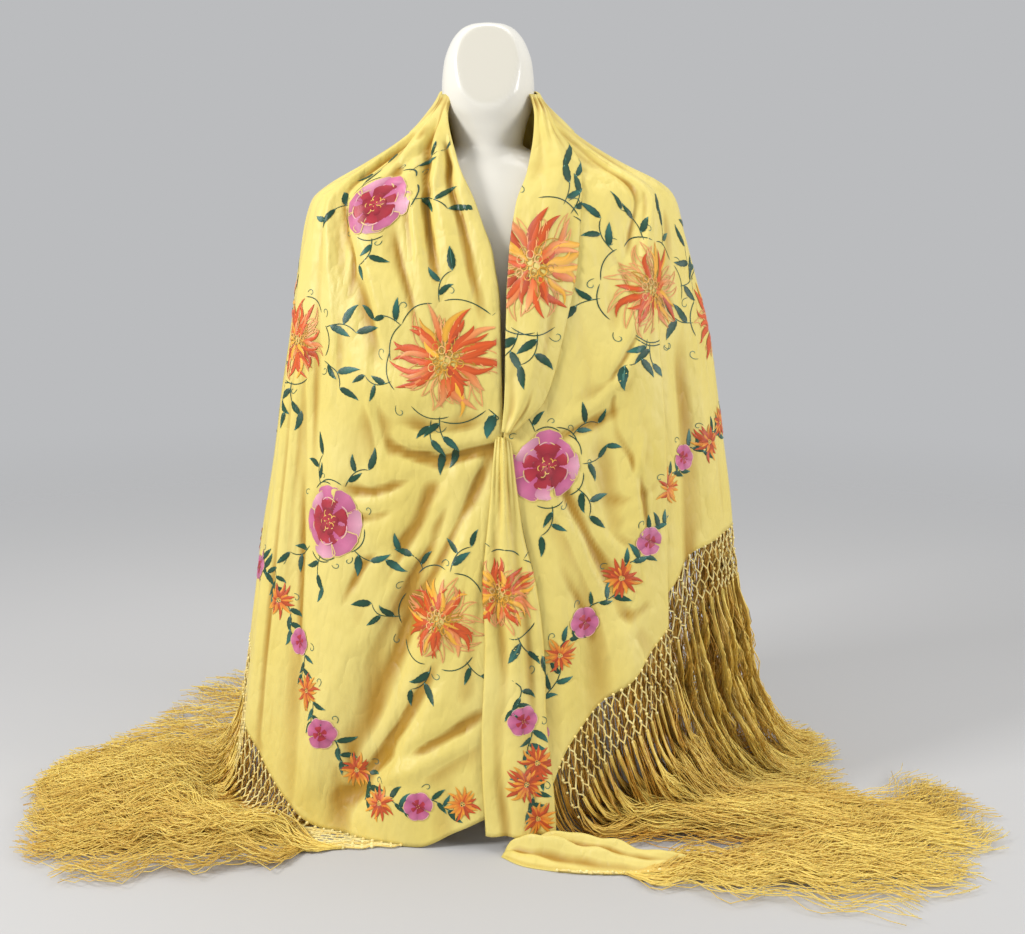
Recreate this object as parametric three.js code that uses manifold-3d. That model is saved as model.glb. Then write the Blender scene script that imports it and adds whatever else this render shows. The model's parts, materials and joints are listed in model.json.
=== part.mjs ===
// A fringed silk shawl, folded corner to corner and pinned round a limbless display bust.
// Millimetres, +Z up. The origin is on the floor, at the middle of the bust's stand.
// +X is to the right as seen from the front, and the front faces -Y.
import * as THREE from "three";
import { mergeVertices } from "three/addons/utils/BufferGeometryUtils.js";
import Module from "manifold-3d";

const wasm = await Module();
wasm.setup();

// Driving sizes of the cloth
const clothWall = 2.4; // the two folded layers of silk, lying on each other
const seamGap = 0.8; // between neighbouring stretches of the cloth
const collarTop = 1086; // height of the fold round the neck
const pleatOverlap = 9; // degrees that the side runs on under that fold
const pleatStand = 11; // how far the folded edge stands off the side below it
const pleatTop = 800; // the fold starts to stand off here
const pleatRise = 130; // the height over which it does
const leftSeamAzimuth = 272; // where the left front meets the back

// Driving sizes of the fringe
const fringeLength = 540; // knotted net and loose ends together
const netWidth = 85; // the knotted net above the loose ends
const netWall = 3;
const lockRadius = 5.5;
const lockTipShare = 0.45; // the lock's thickness at its tip, as a share of its thickest
const gatheredRadius = 1.3; // of a lock at its root in the net
const floorClearance = 1.2; // the lowest strand ends this far above the floor

// Driving sizes of the bust and its stand
const torsoBottom = 330;
const baseRadius = 150;
const baseThickness = 14;
const rimRound = 4;
const poleRadius = 14;
const flangeRadius = 26; // of the pole's foot on the base
const flangeHeight = 24;
const plugGap = 0.3; // between the base, the pole and the bust

const degree = Math.PI / 180;
const smooth = (t) => {
  const c = Math.min(1, Math.max(0, t));
  return c * c * (3 - 2 * c);
};
const mix = (a, b, t) => a + (b - a) * t;

// Reads one column of a table at a key. Between the rows it runs on a smooth curve that never
// overshoots them.
function column(table, keyName, name, key) {
  const sign = table[1][keyName] > table[0][keyName] ? 1 : -1;
  const last = table.length - 1;
  const t = Math.min(sign * table[last][keyName], Math.max(sign * table[0][keyName], sign * key)) * sign;
  let i = 0;
  while (i < last - 1 && sign * (t - table[i + 1][keyName]) > 0) i += 1;
  const slope = (k) => (table[k + 1][name] - table[k][name]) / (table[k + 1][keyName] - table[k][keyName]);
  const tangent = (k) => {
    if (k === 0 || k === last) return slope(k === 0 ? 0 : last - 1);
    const [before, after] = [slope(k - 1), slope(k)];
    return before * after <= 0 ? 0 : (2 * before * after) / (before + after);
  };
  const span = table[i + 1][keyName] - table[i][keyName];
  const w = (t - table[i][keyName]) / span;
  const [w2, w3] = [w * w, w * w * w];
  return (
    (2 * w3 - 3 * w2 + 1) * table[i][name] +
    (w3 - 2 * w2 + w) * span * tangent(i) +
    (3 * w2 - 2 * w3) * table[i + 1][name] +
    (w3 - w2) * span * tangent(i + 1)
  );
}

// Level sections of the draped cloth, from the neck down. left and right are half-widths, front and
// back are half-depths, and power squares the outline off from an ellipse.
const clothSections = [
  { z: 1100, left: 78, right: 80, front: 66, back: 84, power: 2 },
  { z: 1070, left: 82, right: 88, front: 72, back: 88, power: 2 },
  { z: 1030, left: 118, right: 130, front: 84, back: 98, power: 2.05 },
  { z: 985, left: 186, right: 200, front: 100, back: 112, power: 2.2 },
  { z: 950, left: 246, right: 268, front: 116, back: 121, power: 2.4 },
  { z: 930, left: 268, right: 284, front: 124, back: 125, power: 2.5 },
  { z: 866, left: 286, right: 303, front: 148, back: 133, power: 2.5 },
  { z: 790, left: 299, right: 320, front: 172, back: 141, power: 2.4 },
  { z: 696, left: 312, right: 339, front: 190, back: 150, power: 2.3 },
  { z: 600, left: 328, right: 356, front: 201, back: 161, power: 2.2 },
  { z: 520, left: 341, right: 368, front: 213, back: 172, power: 2.1 },
  { z: 405, left: 361, right: 381, front: 234, back: 192, power: 2 },
  { z: 288, left: 380, right: 389, front: 255, back: 215, power: 2 },
  { z: 135, left: 403, right: 396, front: 284, back: 246, power: 2 },
  { z: 0, left: 426, right: 400, front: 312, back: 274, power: 2 },
];

// The edges of the front opening: how far each stands to the right of the middle, by height.
const openingEdges = [
  { z: 1100, leftEdge: -60, rightEdge: 66 },
  { z: 1066, leftEdge: -64, rightEdge: 70 },
  { z: 990, leftEdge: -48, rightEdge: 64 },
  { z: 933, leftEdge: -26, rightEdge: 44 },
  { z: 860, leftEdge: -4, rightEdge: 33 },
  { z: 792, leftEdge: 12, rightEdge: 28 },
  { z: 700, leftEdge: 15, rightEdge: 28 },
  { z: 598, leftEdge: 18, rightEdge: 24 },
  { z: 480, leftEdge: 10, rightEdge: 20 },
  { z: 300, leftEdge: 2, rightEdge: 24 },
  { z: 0, leftEdge: 2, rightEdge: 36 },
];

// The lower edge of the cloth by azimuth: 0 is the front, 90 the right, 180 the back, 270 the left.
const frontHem = [
  { azimuth: 0, z: 24 },
  { azimuth: 8, z: 36 },
  { azimuth: 13, z: 74 },
  { azimuth: 18, z: 142 },
  { azimuth: 25, z: 194 },
  { azimuth: 33, z: 238 },
  { azimuth: 38, z: 274 },
  { azimuth: 44, z: 308 },
];
const backHem = [
  { azimuth: 34, z: 300 },
  { azimuth: 44, z: 342 },
  { azimuth: 58, z: 402 },
  { azimuth: 84, z: 424 },
  { azimuth: 108, z: 438 },
  { azimuth: 130, z: 350 },
  { azimuth: 160, z: 160 },
  { azimuth: 186, z: 30 },
  { azimuth: 196, z: 32 },
  { azimuth: 222, z: 140 },
  { azimuth: 248, z: 232 },
  { azimuth: 270, z: 218 },
  { azimuth: 286, z: 150 },
  { azimuth: 300, z: 84 },
  { azimuth: 314, z: 26 },
  { azimuth: 326, z: 1.4 },
  { azimuth: 346, z: 1.4 },
  { azimuth: 354, z: 26 },
  { azimuth: 360, z: 46 },
];

// Folds that run down the cloth. A fold goes from one azimuth at its top to another at its foot,
// is width degrees across, and stands depth millimetres out, or in where depth is negative.
const folds = [
  { top: 850, foot: 260, topAzimuth: 57, footAzimuth: 55, width: 10, depth: -15 },
  { top: 1040, foot: 780, topAzimuth: 66, footAzimuth: 40, width: 9, depth: 8 },
  { top: 1050, foot: 800, topAzimuth: 78, footAzimuth: 55, width: 8, depth: -6 },
  { top: 700, foot: 120, topAzimuth: 30, footAzimuth: 24, width: 8, depth: -9 },
  { top: 600, foot: 100, topAzimuth: 20, footAzimuth: 38, width: 8, depth: 8 },
  { top: 930, foot: 330, topAzimuth: 84, footAzimuth: 82, width: 9, depth: 9 },
  { top: 900, foot: 330, topAzimuth: 100, footAzimuth: 99, width: 9, depth: -12 },
  { top: 980, foot: 300, topAzimuth: 118, footAzimuth: 117, width: 11, depth: 13 },
  { top: 960, foot: 240, topAzimuth: 138, footAzimuth: 136, width: 10, depth: -13 },
  { top: 1000, foot: 120, topAzimuth: 156, footAzimuth: 154, width: 10, depth: 15 },
  { top: 990, foot: 60, topAzimuth: 174, footAzimuth: 172, width: 9, depth: -14 },
  { top: 1000, foot: 30, topAzimuth: 190, footAzimuth: 190, width: 9, depth: 15 },
  { top: 990, foot: 60, topAzimuth: 207, footAzimuth: 209, width: 9, depth: -14 },
  { top: 980, foot: 120, topAzimuth: 224, footAzimuth: 227, width: 11, depth: 14 },
  { top: 950, foot: 200, topAzimuth: 243, footAzimuth: 245, width: 10, depth: -12 },
  { top: 930, foot: 200, topAzimuth: 260, footAzimuth: 261, width: 9, depth: 10 },
  { top: 920, foot: 120, topAzimuth: 277, footAzimuth: 277, width: 8, depth: -9 },
  { top: 915, foot: 60, topAzimuth: 291, footAzimuth: 293, width: 7, depth: 10 },
  { top: 1070, foot: 840, topAzimuth: 293, footAzimuth: 318, width: 10, depth: -9 },
  { top: 1070, foot: 800, topAzimuth: 308, footAzimuth: 333, width: 9, depth: 9 },
  { top: 900, foot: 90, topAzimuth: 304, footAzimuth: 310, width: 8, depth: -7 },
  { top: 780, foot: 20, topAzimuth: 320, footAzimuth: 322, width: 9, depth: 7 },
  { top: 610, foot: 60, topAzimuth: 352, footAzimuth: 328, width: 11, depth: -22 },
  { top: 590, foot: 90, topAzimuth: 354, footAzimuth: 345, width: 9, depth: 9 },
];

// The bag of cloth that hangs over the clasp on the left front.
const pouch = { z: 664, azimuth: 342, high: 64, wide: 22, depth: 16 };

// Where the right front is folded back on itself and laid over the side: the edge of that fold.
const pleatLine = [
  { z: 1100, azimuth: 68 },
  { z: 1030, azimuth: 64 },
  { z: 930, azimuth: 54 },
  { z: 800, azimuth: 46 },
  { z: 300, azimuth: 43 },
];
const pleatAzimuth = (z) => column(pleatLine, "z", "azimuth", z);

// How far the folds carry the cloth out at an azimuth and a height.
function foldDepth(azimuth, z) {
  let out = 0;
  for (const f of folds) {
    if (z > f.top || z < f.foot - 140) continue;
    const along = (f.top - z) / (f.top - f.foot);
    const middle = mix(f.topAzimuth, f.footAzimuth, along);
    const across = (azimuth - middle) / f.width;
    if (Math.abs(across) > 1) continue;
    const fadeIn = smooth(along / 0.35);
    const fadeOut = smooth((z - f.foot + 140) / 140);
    out += f.depth * fadeIn * fadeOut * Math.cos((across * Math.PI) / 2) ** 2;
  }
  const bagged = ((azimuth - pouch.azimuth) / pouch.wide) ** 2 + ((z - pouch.z) / pouch.high) ** 2;
  return out + pouch.depth * Math.exp(-2 * bagged);
}

// A point of a squared ellipse, and of the cloth without its folds. Azimuth is in degrees.
function onSection(section, azimuth) {
  const [s, c] = [Math.sin(azimuth * degree), Math.cos(azimuth * degree)];
  const wide = s < 0 ? section.left : section.right;
  const deep = c < 0 ? section.back : section.front;
  const power = 2 / section.power;
  return [wide * Math.sign(s) * Math.abs(s) ** power, -deep * Math.sign(c) * Math.abs(c) ** power];
}
const columnNames = ["left", "right", "front", "back", "power"];
const sectionAt = (table, z) =>
  Object.fromEntries(columnNames.map((name) => [name, column(table, "z", name, z)]));

// The middle of the cloth wall at an azimuth and a height, moved out by stand.
function clothPoint(azimuth, z, stand = 0) {
  const section = sectionAt(clothSections, z);
  const [x, y] = onSection(section, azimuth);
  const out = foldDepth(azimuth, z) + stand;
  const [nx, ny] = [x / section[x < 0 ? "left" : "right"] ** 2, y / section[y < 0 ? "front" : "back"] ** 2];
  const length = Math.hypot(nx, ny) || 1;
  return new THREE.Vector3(x + (out * nx) / length, y + (out * ny) / length, z);
}

// The azimuth at which the cloth stands x to the right of the middle, at the front.
function frontAzimuth(x, z) {
  const section = sectionAt(clothSections, z);
  const wide = x < 0 ? section.left : section.right;
  return (Math.asin(Math.sign(x) * (Math.abs(x) / wide) ** (section.power / 2)) / degree + 360) % 360;
}
const rightEdgeAzimuth = (z) => frontAzimuth(column(openingEdges, "z", "rightEdge", z), z);
const leftEdgeAzimuth = (z) => {
  const azimuth = frontAzimuth(column(openingEdges, "z", "leftEdge", z), z);
  return azimuth < 180 ? azimuth + 360 : azimuth;
};

// A closed wall: a box of columns by rows whose vertices are carried onto a surface. pointAt takes
// u and v from 0 to 1, and the wall reaches half its thickness to each side of the surface.
function wall(columns, rows, thickness, pointAt) {
  const box = new THREE.BoxGeometry(1, 1, 1, columns, rows, 1);
  box.deleteAttribute("normal");
  box.deleteAttribute("uv");
  // The inner face is split along the outer face's diagonals, so that a twisted wall keeps its
  // thickness.
  const inner = box.groups[5];
  for (let i = inner.start; i < inner.start + inner.count; i += 6) {
    const [a, b, , , c, d] = box.index.array.slice(i, i + 6);
    box.index.array.set([a, b, c, a, c, d], i);
  }
  const geometry = mergeVertices(box, 1e-6);
  const position = geometry.getAttribute("position");
  const step = 1e-3;
  for (let i = 0; i < position.count; i += 1) {
    const u = position.getX(i) + 0.5;
    const v = position.getY(i) + 0.5;
    const along = pointAt(u + step, v).sub(pointAt(u - step, v));
    const up = pointAt(u, Math.min(1, v + step)).sub(pointAt(u, Math.max(0, v - step)));
    const normal = along.cross(up).normalize();
    const moved = pointAt(u, v).addScaledVector(normal, thickness * position.getZ(i));
    position.setXYZ(i, moved.x, moved.y, moved.z);
  }
  return geometry;
}

// Rows of the cloth wall: a few, far apart, up to the armpits and closer ones over the shoulders.
const shoulderFoot = 905;
const hangingRows = 7;
const shoulderRows = 8;
const rows = hangingRows + shoulderRows;
function rowHeight(hem, v) {
  const row = v * rows;
  if (row < hangingRows) return mix(hem, shoulderFoot, row / hangingRows);
  return mix(shoulderFoot, collarTop, (row - hangingRows) / shoulderRows);
}

// The gap between two stretches at a height, as degrees of azimuth.
const gapAzimuth = (z) => seamGap / column(clothSections, "z", "front", z) / degree;

// The stretches of the draped cloth. Each runs between two azimuths that may change with height,
// from its hem up to the collar, and may stand off the shape of the sections.
const pleatOff = (z) => pleatStand * smooth((pleatTop - z) / pleatRise);
const frontRight = {
  columns: 14, hem: frontHem, from: rightEdgeAzimuth, to: pleatAzimuth,
  stand: (u, z) => smooth((u - 0.45) / 0.35) * pleatOff(z),
};
const back = {
  columns: 30, hem: backHem, to: () => leftSeamAzimuth, stand: () => 0,
  from: (z) =>
    pleatAzimuth(z) + gapAzimuth(z) - pleatOverlap * smooth((pleatTop - pleatRise - z) / pleatRise),
};
const frontLeft = {
  columns: 16, hem: backHem, to: leftEdgeAzimuth, stand: () => 0,
  from: (z) => leftSeamAzimuth + gapAzimuth(z),
};
const hemHeight = (panel, u) => column(panel.hem, "azimuth", "z", mix(panel.from(0), panel.to(0), u));
function panelPoint(panel, u, z, out = 0) {
  return clothPoint(mix(panel.from(z), panel.to(z), u), z, panel.stand(u, z) + out);
}
const drape = (panel) =>
  wall(panel.columns, rows, clothWall, (u, v) =>
    panelPoint(panel, u, rowHeight(hemHeight(panel, u), v)),
  );

// The band folded over at the edge of the right front, from the neck to the clasp, and the strip of
// folds that hangs from the clasp to the floor: where each runs, by height, as distances to the
// right of the middle, and how far its crown stands off the cloth below.
const rightLapel = [
  { z: 1084, inner: 66, outer: 79, crown: 4 },
  { z: 1040, inner: 67, outer: 98, crown: 8 },
  { z: 975, inner: 58, outer: 138, crown: 12 },
  { z: 930, inner: 42, outer: 137, crown: 13 },
  { z: 848, inner: 31, outer: 131, crown: 13 },
  { z: 750, inner: 27, outer: 112, crown: 12 },
  { z: 651, inner: 25, outer: 84, crown: 11 },
  { z: 604, inner: 21, outer: 40, crown: 9 },
];
const centreFold = [
  { z: 596, inner: 12, outer: 34, crown: 9 },
  { z: 480, inner: 2, outer: 48, crown: 12 },
  { z: 370, inner: -4, outer: 74, crown: 14 },
  { z: 200, inner: -6, outer: 86, crown: 14 },
  { z: 90, inner: -6, outer: 96, crown: 13 },
  { z: 22.5, inner: -4, outer: 98, crown: 11 },
];
const lapelClearance = clothWall + 2;
const foldClearance = clothWall + 1.9;
// A band over the fronts. pleats is the number of ridges across it, and clearance goes from the
// middle of the cloth below to the middle of the band at its edges.
function band(columns, steps, table, pleats, clearance) {
  const [top, bottom] = [table[0].z, table[table.length - 1].z];
  return wall(columns, steps, clothWall, (u, v) => {
    const z = mix(bottom, top, 1 - (1 - v) ** 1.3);
    const across = Math.min(1, Math.max(0, u));
    const x = mix(column(table, "z", "inner", z), column(table, "z", "outer", z), u);
    const rounded = Math.sin(Math.PI * across) ** 0.7;
    const ridges = 0.62 + 0.38 * Math.cos(2 * Math.PI * pleats * (across - 0.5));
    const crown = column(table, "z", "crown", z) * rounded * ridges;
    return clothPoint(frontAzimuth(x, z), z, clearance + crown);
  });
}

// The fold that stands round the back of the neck: up the outside of the cloth and over its top.
const rollSection = [
  { v: 0, z: 1034, stand: 5.1 },
  { v: 0.3, z: 1052, stand: 9 },
  { v: 0.6, z: 1078, stand: 8 },
  { v: 0.85, z: 1090.5, stand: 3.6 },
  { v: 1, z: 1091, stand: -1 },
];
const rollEnds = { right: 76, left: 282 };
const neckRoll = () =>
  wall(22, 5, clothWall, (u, v) => {
    const z = column(rollSection, "v", "z", v);
    return clothPoint(mix(rollEnds.right, rollEnds.left, u), z, column(rollSection, "v", "stand", v));
  });

// The end of the long left front, heaped on the floor to the right of the opening: where its middle
// runs, how wide it is and how high its folds stand.
const tipSections = [
  { v: 0, x: 8, y: -322, width: 52, height: 18 },
  { v: 0.2, x: 72, y: -338, width: 72, height: 20.6 },
  { v: 0.45, x: 142, y: -352, width: 78, height: 23 },
  { v: 0.75, x: 225, y: -358, width: 62, height: 19 },
  { v: 1, x: 300, y: -354, width: 36, height: 13 },
];
const tipRidges = 3; // waves across the heaped cloth
const tipAt = (v, name) => column(tipSections, "v", name, v);

// A point of the heap in plan: v runs from its root to its end, and side across it, to the right of
// that way where it is positive.
function tipPoint(v, side) {
  const [ahead, behind] = [v + 0.02, v - 0.02];
  const run = new THREE.Vector2(tipAt(ahead, "x"), tipAt(ahead, "y"));
  run.sub(new THREE.Vector2(tipAt(behind, "x"), tipAt(behind, "y"))).normalize();
  return [tipAt(v, "x") + run.y * side, tipAt(v, "y") - run.x * side];
}
function floorTip() {
  const geometry = new THREE.BoxGeometry(1, 1, 1, 10, 8, 1);
  const position = geometry.getAttribute("position");
  for (let i = 0; i < position.count; i += 1) {
    const [u, v] = [position.getX(i), position.getY(i) + 0.5];
    const [x, y] = tipPoint(v, u * tipAt(v, "width"));
    const ridge = 0.8 + 0.2 * Math.cos(2 * Math.PI * tipRidges * u);
    const edge = Math.sqrt(Math.min(1, (0.5 - Math.abs(u)) * 6));
    const top = clothWall + tipAt(v, "height") * ridge * edge;
    position.setXYZ(i, x, y, position.getZ(i) < 0 ? 0 : top);
  }
  return geometry;
}

// Level sections of the bust, as of the cloth. Its shoulders end where the arms would start.
const bustSections = [
  { z: 1192, left: 7, right: 7, front: 7, back: 7, power: 2 },
  { z: 1189, left: 25, right: 25, front: 27, back: 27, power: 2 },
  { z: 1180, left: 42, right: 42, front: 47, back: 50, power: 2 },
  { z: 1160, left: 57, right: 57, front: 64, back: 68, power: 2 },
  { z: 1130, left: 67, right: 67, front: 74, back: 76, power: 2 },
  { z: 1095, left: 70, right: 70, front: 76, back: 74, power: 2 },
  { z: 1068, left: 67, right: 67, front: 70, back: 69, power: 2 },
  { z: 1040, left: 58, right: 58, front: 60, back: 62, power: 2 },
  { z: 1012, left: 53, right: 53, front: 54, back: 62, power: 2 },
  { z: 1000, left: 70, right: 74, front: 57, back: 70, power: 2 },
  { z: 982, left: 148, right: 158, front: 70, back: 86, power: 2.1 },
  { z: 962, left: 215, right: 233, front: 84, back: 98, power: 2.3 },
  { z: 940, left: 253, right: 271, front: 97, back: 107, power: 2.4 },
  { z: 905, left: 259, right: 274, front: 111, back: 115, power: 2.4 },
  { z: 860, left: 232, right: 240, front: 122, back: 118, power: 2.4 },
  { z: 800, left: 178, right: 178, front: 128, back: 112, power: 2.3 },
  { z: 700, left: 146, right: 146, front: 112, back: 98, power: 2.2 },
  { z: 600, left: 130, right: 130, front: 96, back: 88, power: 2.1 },
  { z: 480, left: 152, right: 152, front: 104, back: 106, power: 2.1 },
  { z: 400, left: 166, right: 166, front: 110, back: 116, power: 2.1 },
  { z: torsoBottom, left: 160, right: 160, front: 104, back: 110, power: 2.1 },
];

// The face is one flat oval: its plane stands at depth in front of the middle, by height.
const facePlane = [
  { z: 1192, depth: 34 },
  { z: 1067, depth: 71 },
];
const bustRings = 22;
function bust() {
  const tube = new THREE.CylinderGeometry(1, 1, 1, 22, bustRings);
  tube.deleteAttribute("normal");
  tube.deleteAttribute("uv");
  const geometry = mergeVertices(tube, 1e-6);
  const position = geometry.getAttribute("position");
  for (let i = 0; i < position.count; i += 1) {
    // The rings are spread so that each section of the table has about as many.
    const place = (0.5 - position.getY(i)) * (bustSections.length - 1);
    const row = Math.min(bustSections.length - 2, Math.floor(place));
    const z = mix(bustSections[row].z, bustSections[row + 1].z, place - row);
    const onAxis = Math.hypot(position.getX(i), position.getZ(i)) < 0.5;
    const azimuth = Math.atan2(position.getX(i), position.getZ(i)) / degree;
    const [x, y] = onAxis ? [0, 0] : onSection(sectionAt(bustSections, z), azimuth);
    const face = z > facePlane[1].z ? -column(facePlane, "z", "depth", z) : -1e3;
    position.setXYZ(i, x, Math.max(y, face), z);
  }
  return geometry;
}

// A disc or rod: a profile of radius and height, turned round the axis.
const turned = (profile, segments) => {
  const points = profile.map(([radius, z]) => new THREE.Vector2(radius, z));
  return new THREE.LatheGeometry(points, segments).rotateX(Math.PI / 2);
};
const baseProfile = [
  [0, 0],
  [baseRadius - rimRound / 2, 0],
  [baseRadius, rimRound / 2],
  [baseRadius, baseThickness - rimRound],
  [baseRadius - rimRound, baseThickness],
  [0, baseThickness],
];
const poleFoot = baseThickness + plugGap;
const poleTop = torsoBottom - plugGap;
const poleProfile = [
  [0, poleFoot],
  [flangeRadius, poleFoot],
  [poleRadius, poleFoot + flangeHeight],
  [poleRadius, poleTop],
  [0, poleTop],
];

// A strand of the fringe hangs from its root as a chain does, meets the floor and runs out over it.
// slack is the chain's tightest radius, heading is its direction in plan in degrees from +X, turn is
// how far that swings along the floor, lift is how high it rides on the strands below, and its waves
// leave it length long.
const strandFloor = floorClearance + lockRadius / 2; // the middle of a lock that lies on the floor
function strand(root, { slack, heading, turn, lift, length }) {
  const drop = Math.max(0, root.z - strandFloor);
  const hanging = Math.sqrt(drop * drop + 2 * slack * drop);
  const reach = slack * Math.asinh(hanging / slack);
  return (s) => {
    const left = hanging - s;
    const travel = left > 0 ? reach - slack * Math.asinh(left / slack) : reach + s - hanging;
    const height = left > 0 ? Math.hypot(slack, left) - slack : 0;
    const angle = (heading + (turn * travel) / length) * degree;
    const rising = smooth((s - netWidth) / (0.3 * length)) * smooth(1.4 - height / 120);
    const falling = 1 - 0.5 * smooth((s / length - 0.55) / 0.45);
    return new THREE.Vector3(
      root.x + travel * Math.cos(angle),
      root.y + travel * Math.sin(angle),
      root.z - drop + height + lift * rising * falling,
    );
  };
}

// The stretches of the fringe along the hem. first and last are columns of the panel that each hangs
// from, and each pair gives a value at the first strand and at the last. Where outside is true the
// cloth reaches the floor and the net lies against its face, and elsewhere the net hangs from its
// edge. gap is how far the net is from the cloth.
const hemFringes = [
  { name: "fringe_left_front", panel: frontLeft, first: 13, last: 7, locks: 20, gap: 1.7, outside: true,
    heading: [196, 184], turn: [-8, -12], slack: [8, 10], lift: [0, 34], straight: [1, 0.8] },
  { name: "fringe_left_side", panel: frontLeft, first: 7, last: 0, locks: 22, gap: 1.5, outside: false,
    heading: [183, 168], turn: [-14, 8], slack: [10, 34], lift: [0, 34], straight: [0.8, 0.96] },
  { name: "fringe_back_left", panel: back, first: 30, last: 19, locks: 27, gap: 1.6, outside: false,
    heading: [166, 98], turn: [10, 14], slack: [34, 20], lift: [0, 20], straight: [0.96, 0.9] },
  { name: "fringe_back_right", panel: back, first: 19, last: 9, locks: 27, gap: 1.7, outside: false,
    heading: [90, 50], turn: [-14, -8], slack: [34, 40], lift: [0, 20], straight: [0.9, 0.96] },
  { name: "fringe_right_side", panel: back, first: 9, last: 1, locks: 22, gap: 1.6, outside: false,
    heading: [48, 24], turn: [-6, 2], slack: [40, 50], lift: [0, 24], straight: [0.96, 1] },
  { name: "fringe_right_front", panel: frontRight, first: 14, last: 4, locks: 24, gap: 1, outside: false,
    heading: [14, 3], turn: [4, 4], slack: [110, 60], lift: [20, 44], straight: [1, 1] },
];
const pair = (values, t) => mix(values[0], values[1], t);
const rootOverlap = 4; // how far up the cloth's face the net reaches where it lies outside

const rootInset = 0.05; // of a column, from the end of a stretch to the next one's

// The root of the strand at u. Between two columns it follows the cloth's straight edge.
function hemRoot(row, u) {
  const inset = row.first > row.last ? -rootInset : rootInset;
  const place = mix(row.first + inset, row.last - inset, u);
  const corner = (number) => {
    const across = number / row.panel.columns;
    const hem = hemHeight(row.panel, across);
    if (!row.outside) return panelPoint(row.panel, across, hem - row.gap);
    const out = clothWall / 2 + row.gap + netWall / 2;
    const root = panelPoint(row.panel, across, hem + rootOverlap, out);
    root.z = Math.max(root.z, strandFloor);
    return root;
  };
  const low = Math.floor(place);
  return corner(low).lerp(corner(low + 1), place - low);
}

// The fringe of the heap, which is rooted along its front edge and round its end.
const tipFringe = {
  name: "fringe_floor_tip", locks: 20,
  heading: [-17, 6], turn: [2, 2], slack: [8, 8], lift: [0, 9], straight: [1, 1],
};
const tipStart = 0.3; // as a share of the heap's length
const tipNetOff = netWall + 1.4; // from the heap's edge to the middle of the net
function tipRoot(u) {
  const v = mix(tipStart, 1, Math.min(1, u / 0.8));
  const round = smooth((u - 0.8) / 0.2);
  const side = mix(0.5, -0.4, round) * tipAt(v, "width") + mix(1, 0, round) * tipNetOff;
  const [x, y] = tipPoint(v, side);
  const past = tipNetOff * round;
  return new THREE.Vector3(x + past, y, strandFloor);
}

// A lock: a three-sided tube along a strand. It is gathered where it leaves the net, fills out, and
// tapers to its tip.
function lock(along, start, end, segments) {
  const tube = new THREE.CylinderGeometry(1, 1, 1, 3, segments);
  tube.deleteAttribute("normal");
  tube.deleteAttribute("uv");
  const geometry = mergeVertices(tube, 1e-6);
  const position = geometry.getAttribute("position");
  for (let i = 0; i < position.count; i += 1) {
    const share = 0.5 - position.getY(i);
    const s = mix(start, end, share ** 1.3);
    const tangent = along(s + 1).sub(along(s - 1)).normalize();
    const side = new THREE.Vector3(-tangent.y, tangent.x, 0).normalize();
    const upward = new THREE.Vector3().crossVectors(tangent, side);
    const radius = share < 0.01 ? gatheredRadius : lockRadius * mix(1, lockTipShare, share);
    const moved = along(s);
    moved.addScaledVector(side, radius * position.getX(i));
    moved.addScaledVector(upward, radius * position.getZ(i));
    position.setXYZ(i, moved.x, moved.y, moved.z);
  }
  return geometry;
}

function solidOf(geometry) {
  const bare = geometry.clone();
  bare.deleteAttribute("normal");
  bare.deleteAttribute("uv");
  const merged = mergeVertices(bare, 1e-4);
  return new wasm.Manifold(
    new wasm.Mesh({
      numProp: 3,
      vertProperties: new Float32Array(merged.getAttribute("position").array),
      triVerts: new Uint32Array(merged.index.array),
    }),
  );
}
function geometryOf(solid) {
  const mesh = solid.getMesh();
  const geometry = new THREE.BufferGeometry();
  geometry.setAttribute("position", new THREE.BufferAttribute(new Float32Array(mesh.vertProperties), 3));
  geometry.setIndex(new THREE.BufferAttribute(new Uint32Array(mesh.triVerts), 1));
  return geometry;
}

// A stretch of fringe: the knotted net as a narrow wall, with its locks rooted in the net's foot.
const rootDepth = 9; // of the locks in the net
const layers = 3; // the locks lie on the floor in turn on this many levels
function fringe(row, rootAt, netColumns) {
  const lengthAt = (u) => fringeLength * pair(row.straight, u);
  const strandAt = (u, lift) => {
    const [slack, heading, turn] = [row.slack, row.heading, row.turn].map((values) => pair(values, u));
    return strand(rootAt(u), { slack, heading, turn, lift, length: lengthAt(u) });
  };
  const net = wall(netColumns, 2, netWall, (u, v) => strandAt(u, 0)(netWidth * (1 - v)));
  let solid = solidOf(net);
  for (let i = 0; i < row.locks; i += 1) {
    const u = (i + 0.5) / row.locks;
    const along = strandAt(u, pair(row.lift, ((i * 2) % layers) / (layers - 1)));
    solid = solid.add(solidOf(lock(along, netWidth - rootDepth, lengthAt(u), 4)));
  }
  return geometryOf(solid);
}

const parts = new THREE.Group();
function add(name, geometry, material) {
  const mesh = new THREE.Mesh(geometry, material);
  mesh.name = name;
  parts.add(mesh);
}
const silk = new THREE.MeshStandardMaterial({ color: "#d8bb4e", roughness: 0.45, metalness: 0 });
const threads = new THREE.MeshStandardMaterial({ color: "#e0c25e", roughness: 0.5, metalness: 0 });
const plastic = new THREE.MeshStandardMaterial({ color: "#e9e5da", roughness: 0.3, metalness: 0 });
const steel = new THREE.MeshStandardMaterial({ color: "#8d9094", roughness: 0.35, metalness: 1 });
add("shawl_front_right", drape(frontRight), silk);
add("shawl_back", drape(back), silk);
add("shawl_front_left", drape(frontLeft), silk);
add("shawl_lapel", band(6, 14, rightLapel, 1, lapelClearance), silk);
add("shawl_neck_roll", neckRoll(), silk);
add("shawl_centre_fold", band(9, 11, centreFold, 2, foldClearance), silk);
add("shawl_floor_tip", floorTip(), silk);
for (const row of hemFringes) {
  add(row.name, fringe(row, (u) => hemRoot(row, u), Math.abs(row.last - row.first)), threads);
}
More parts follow.
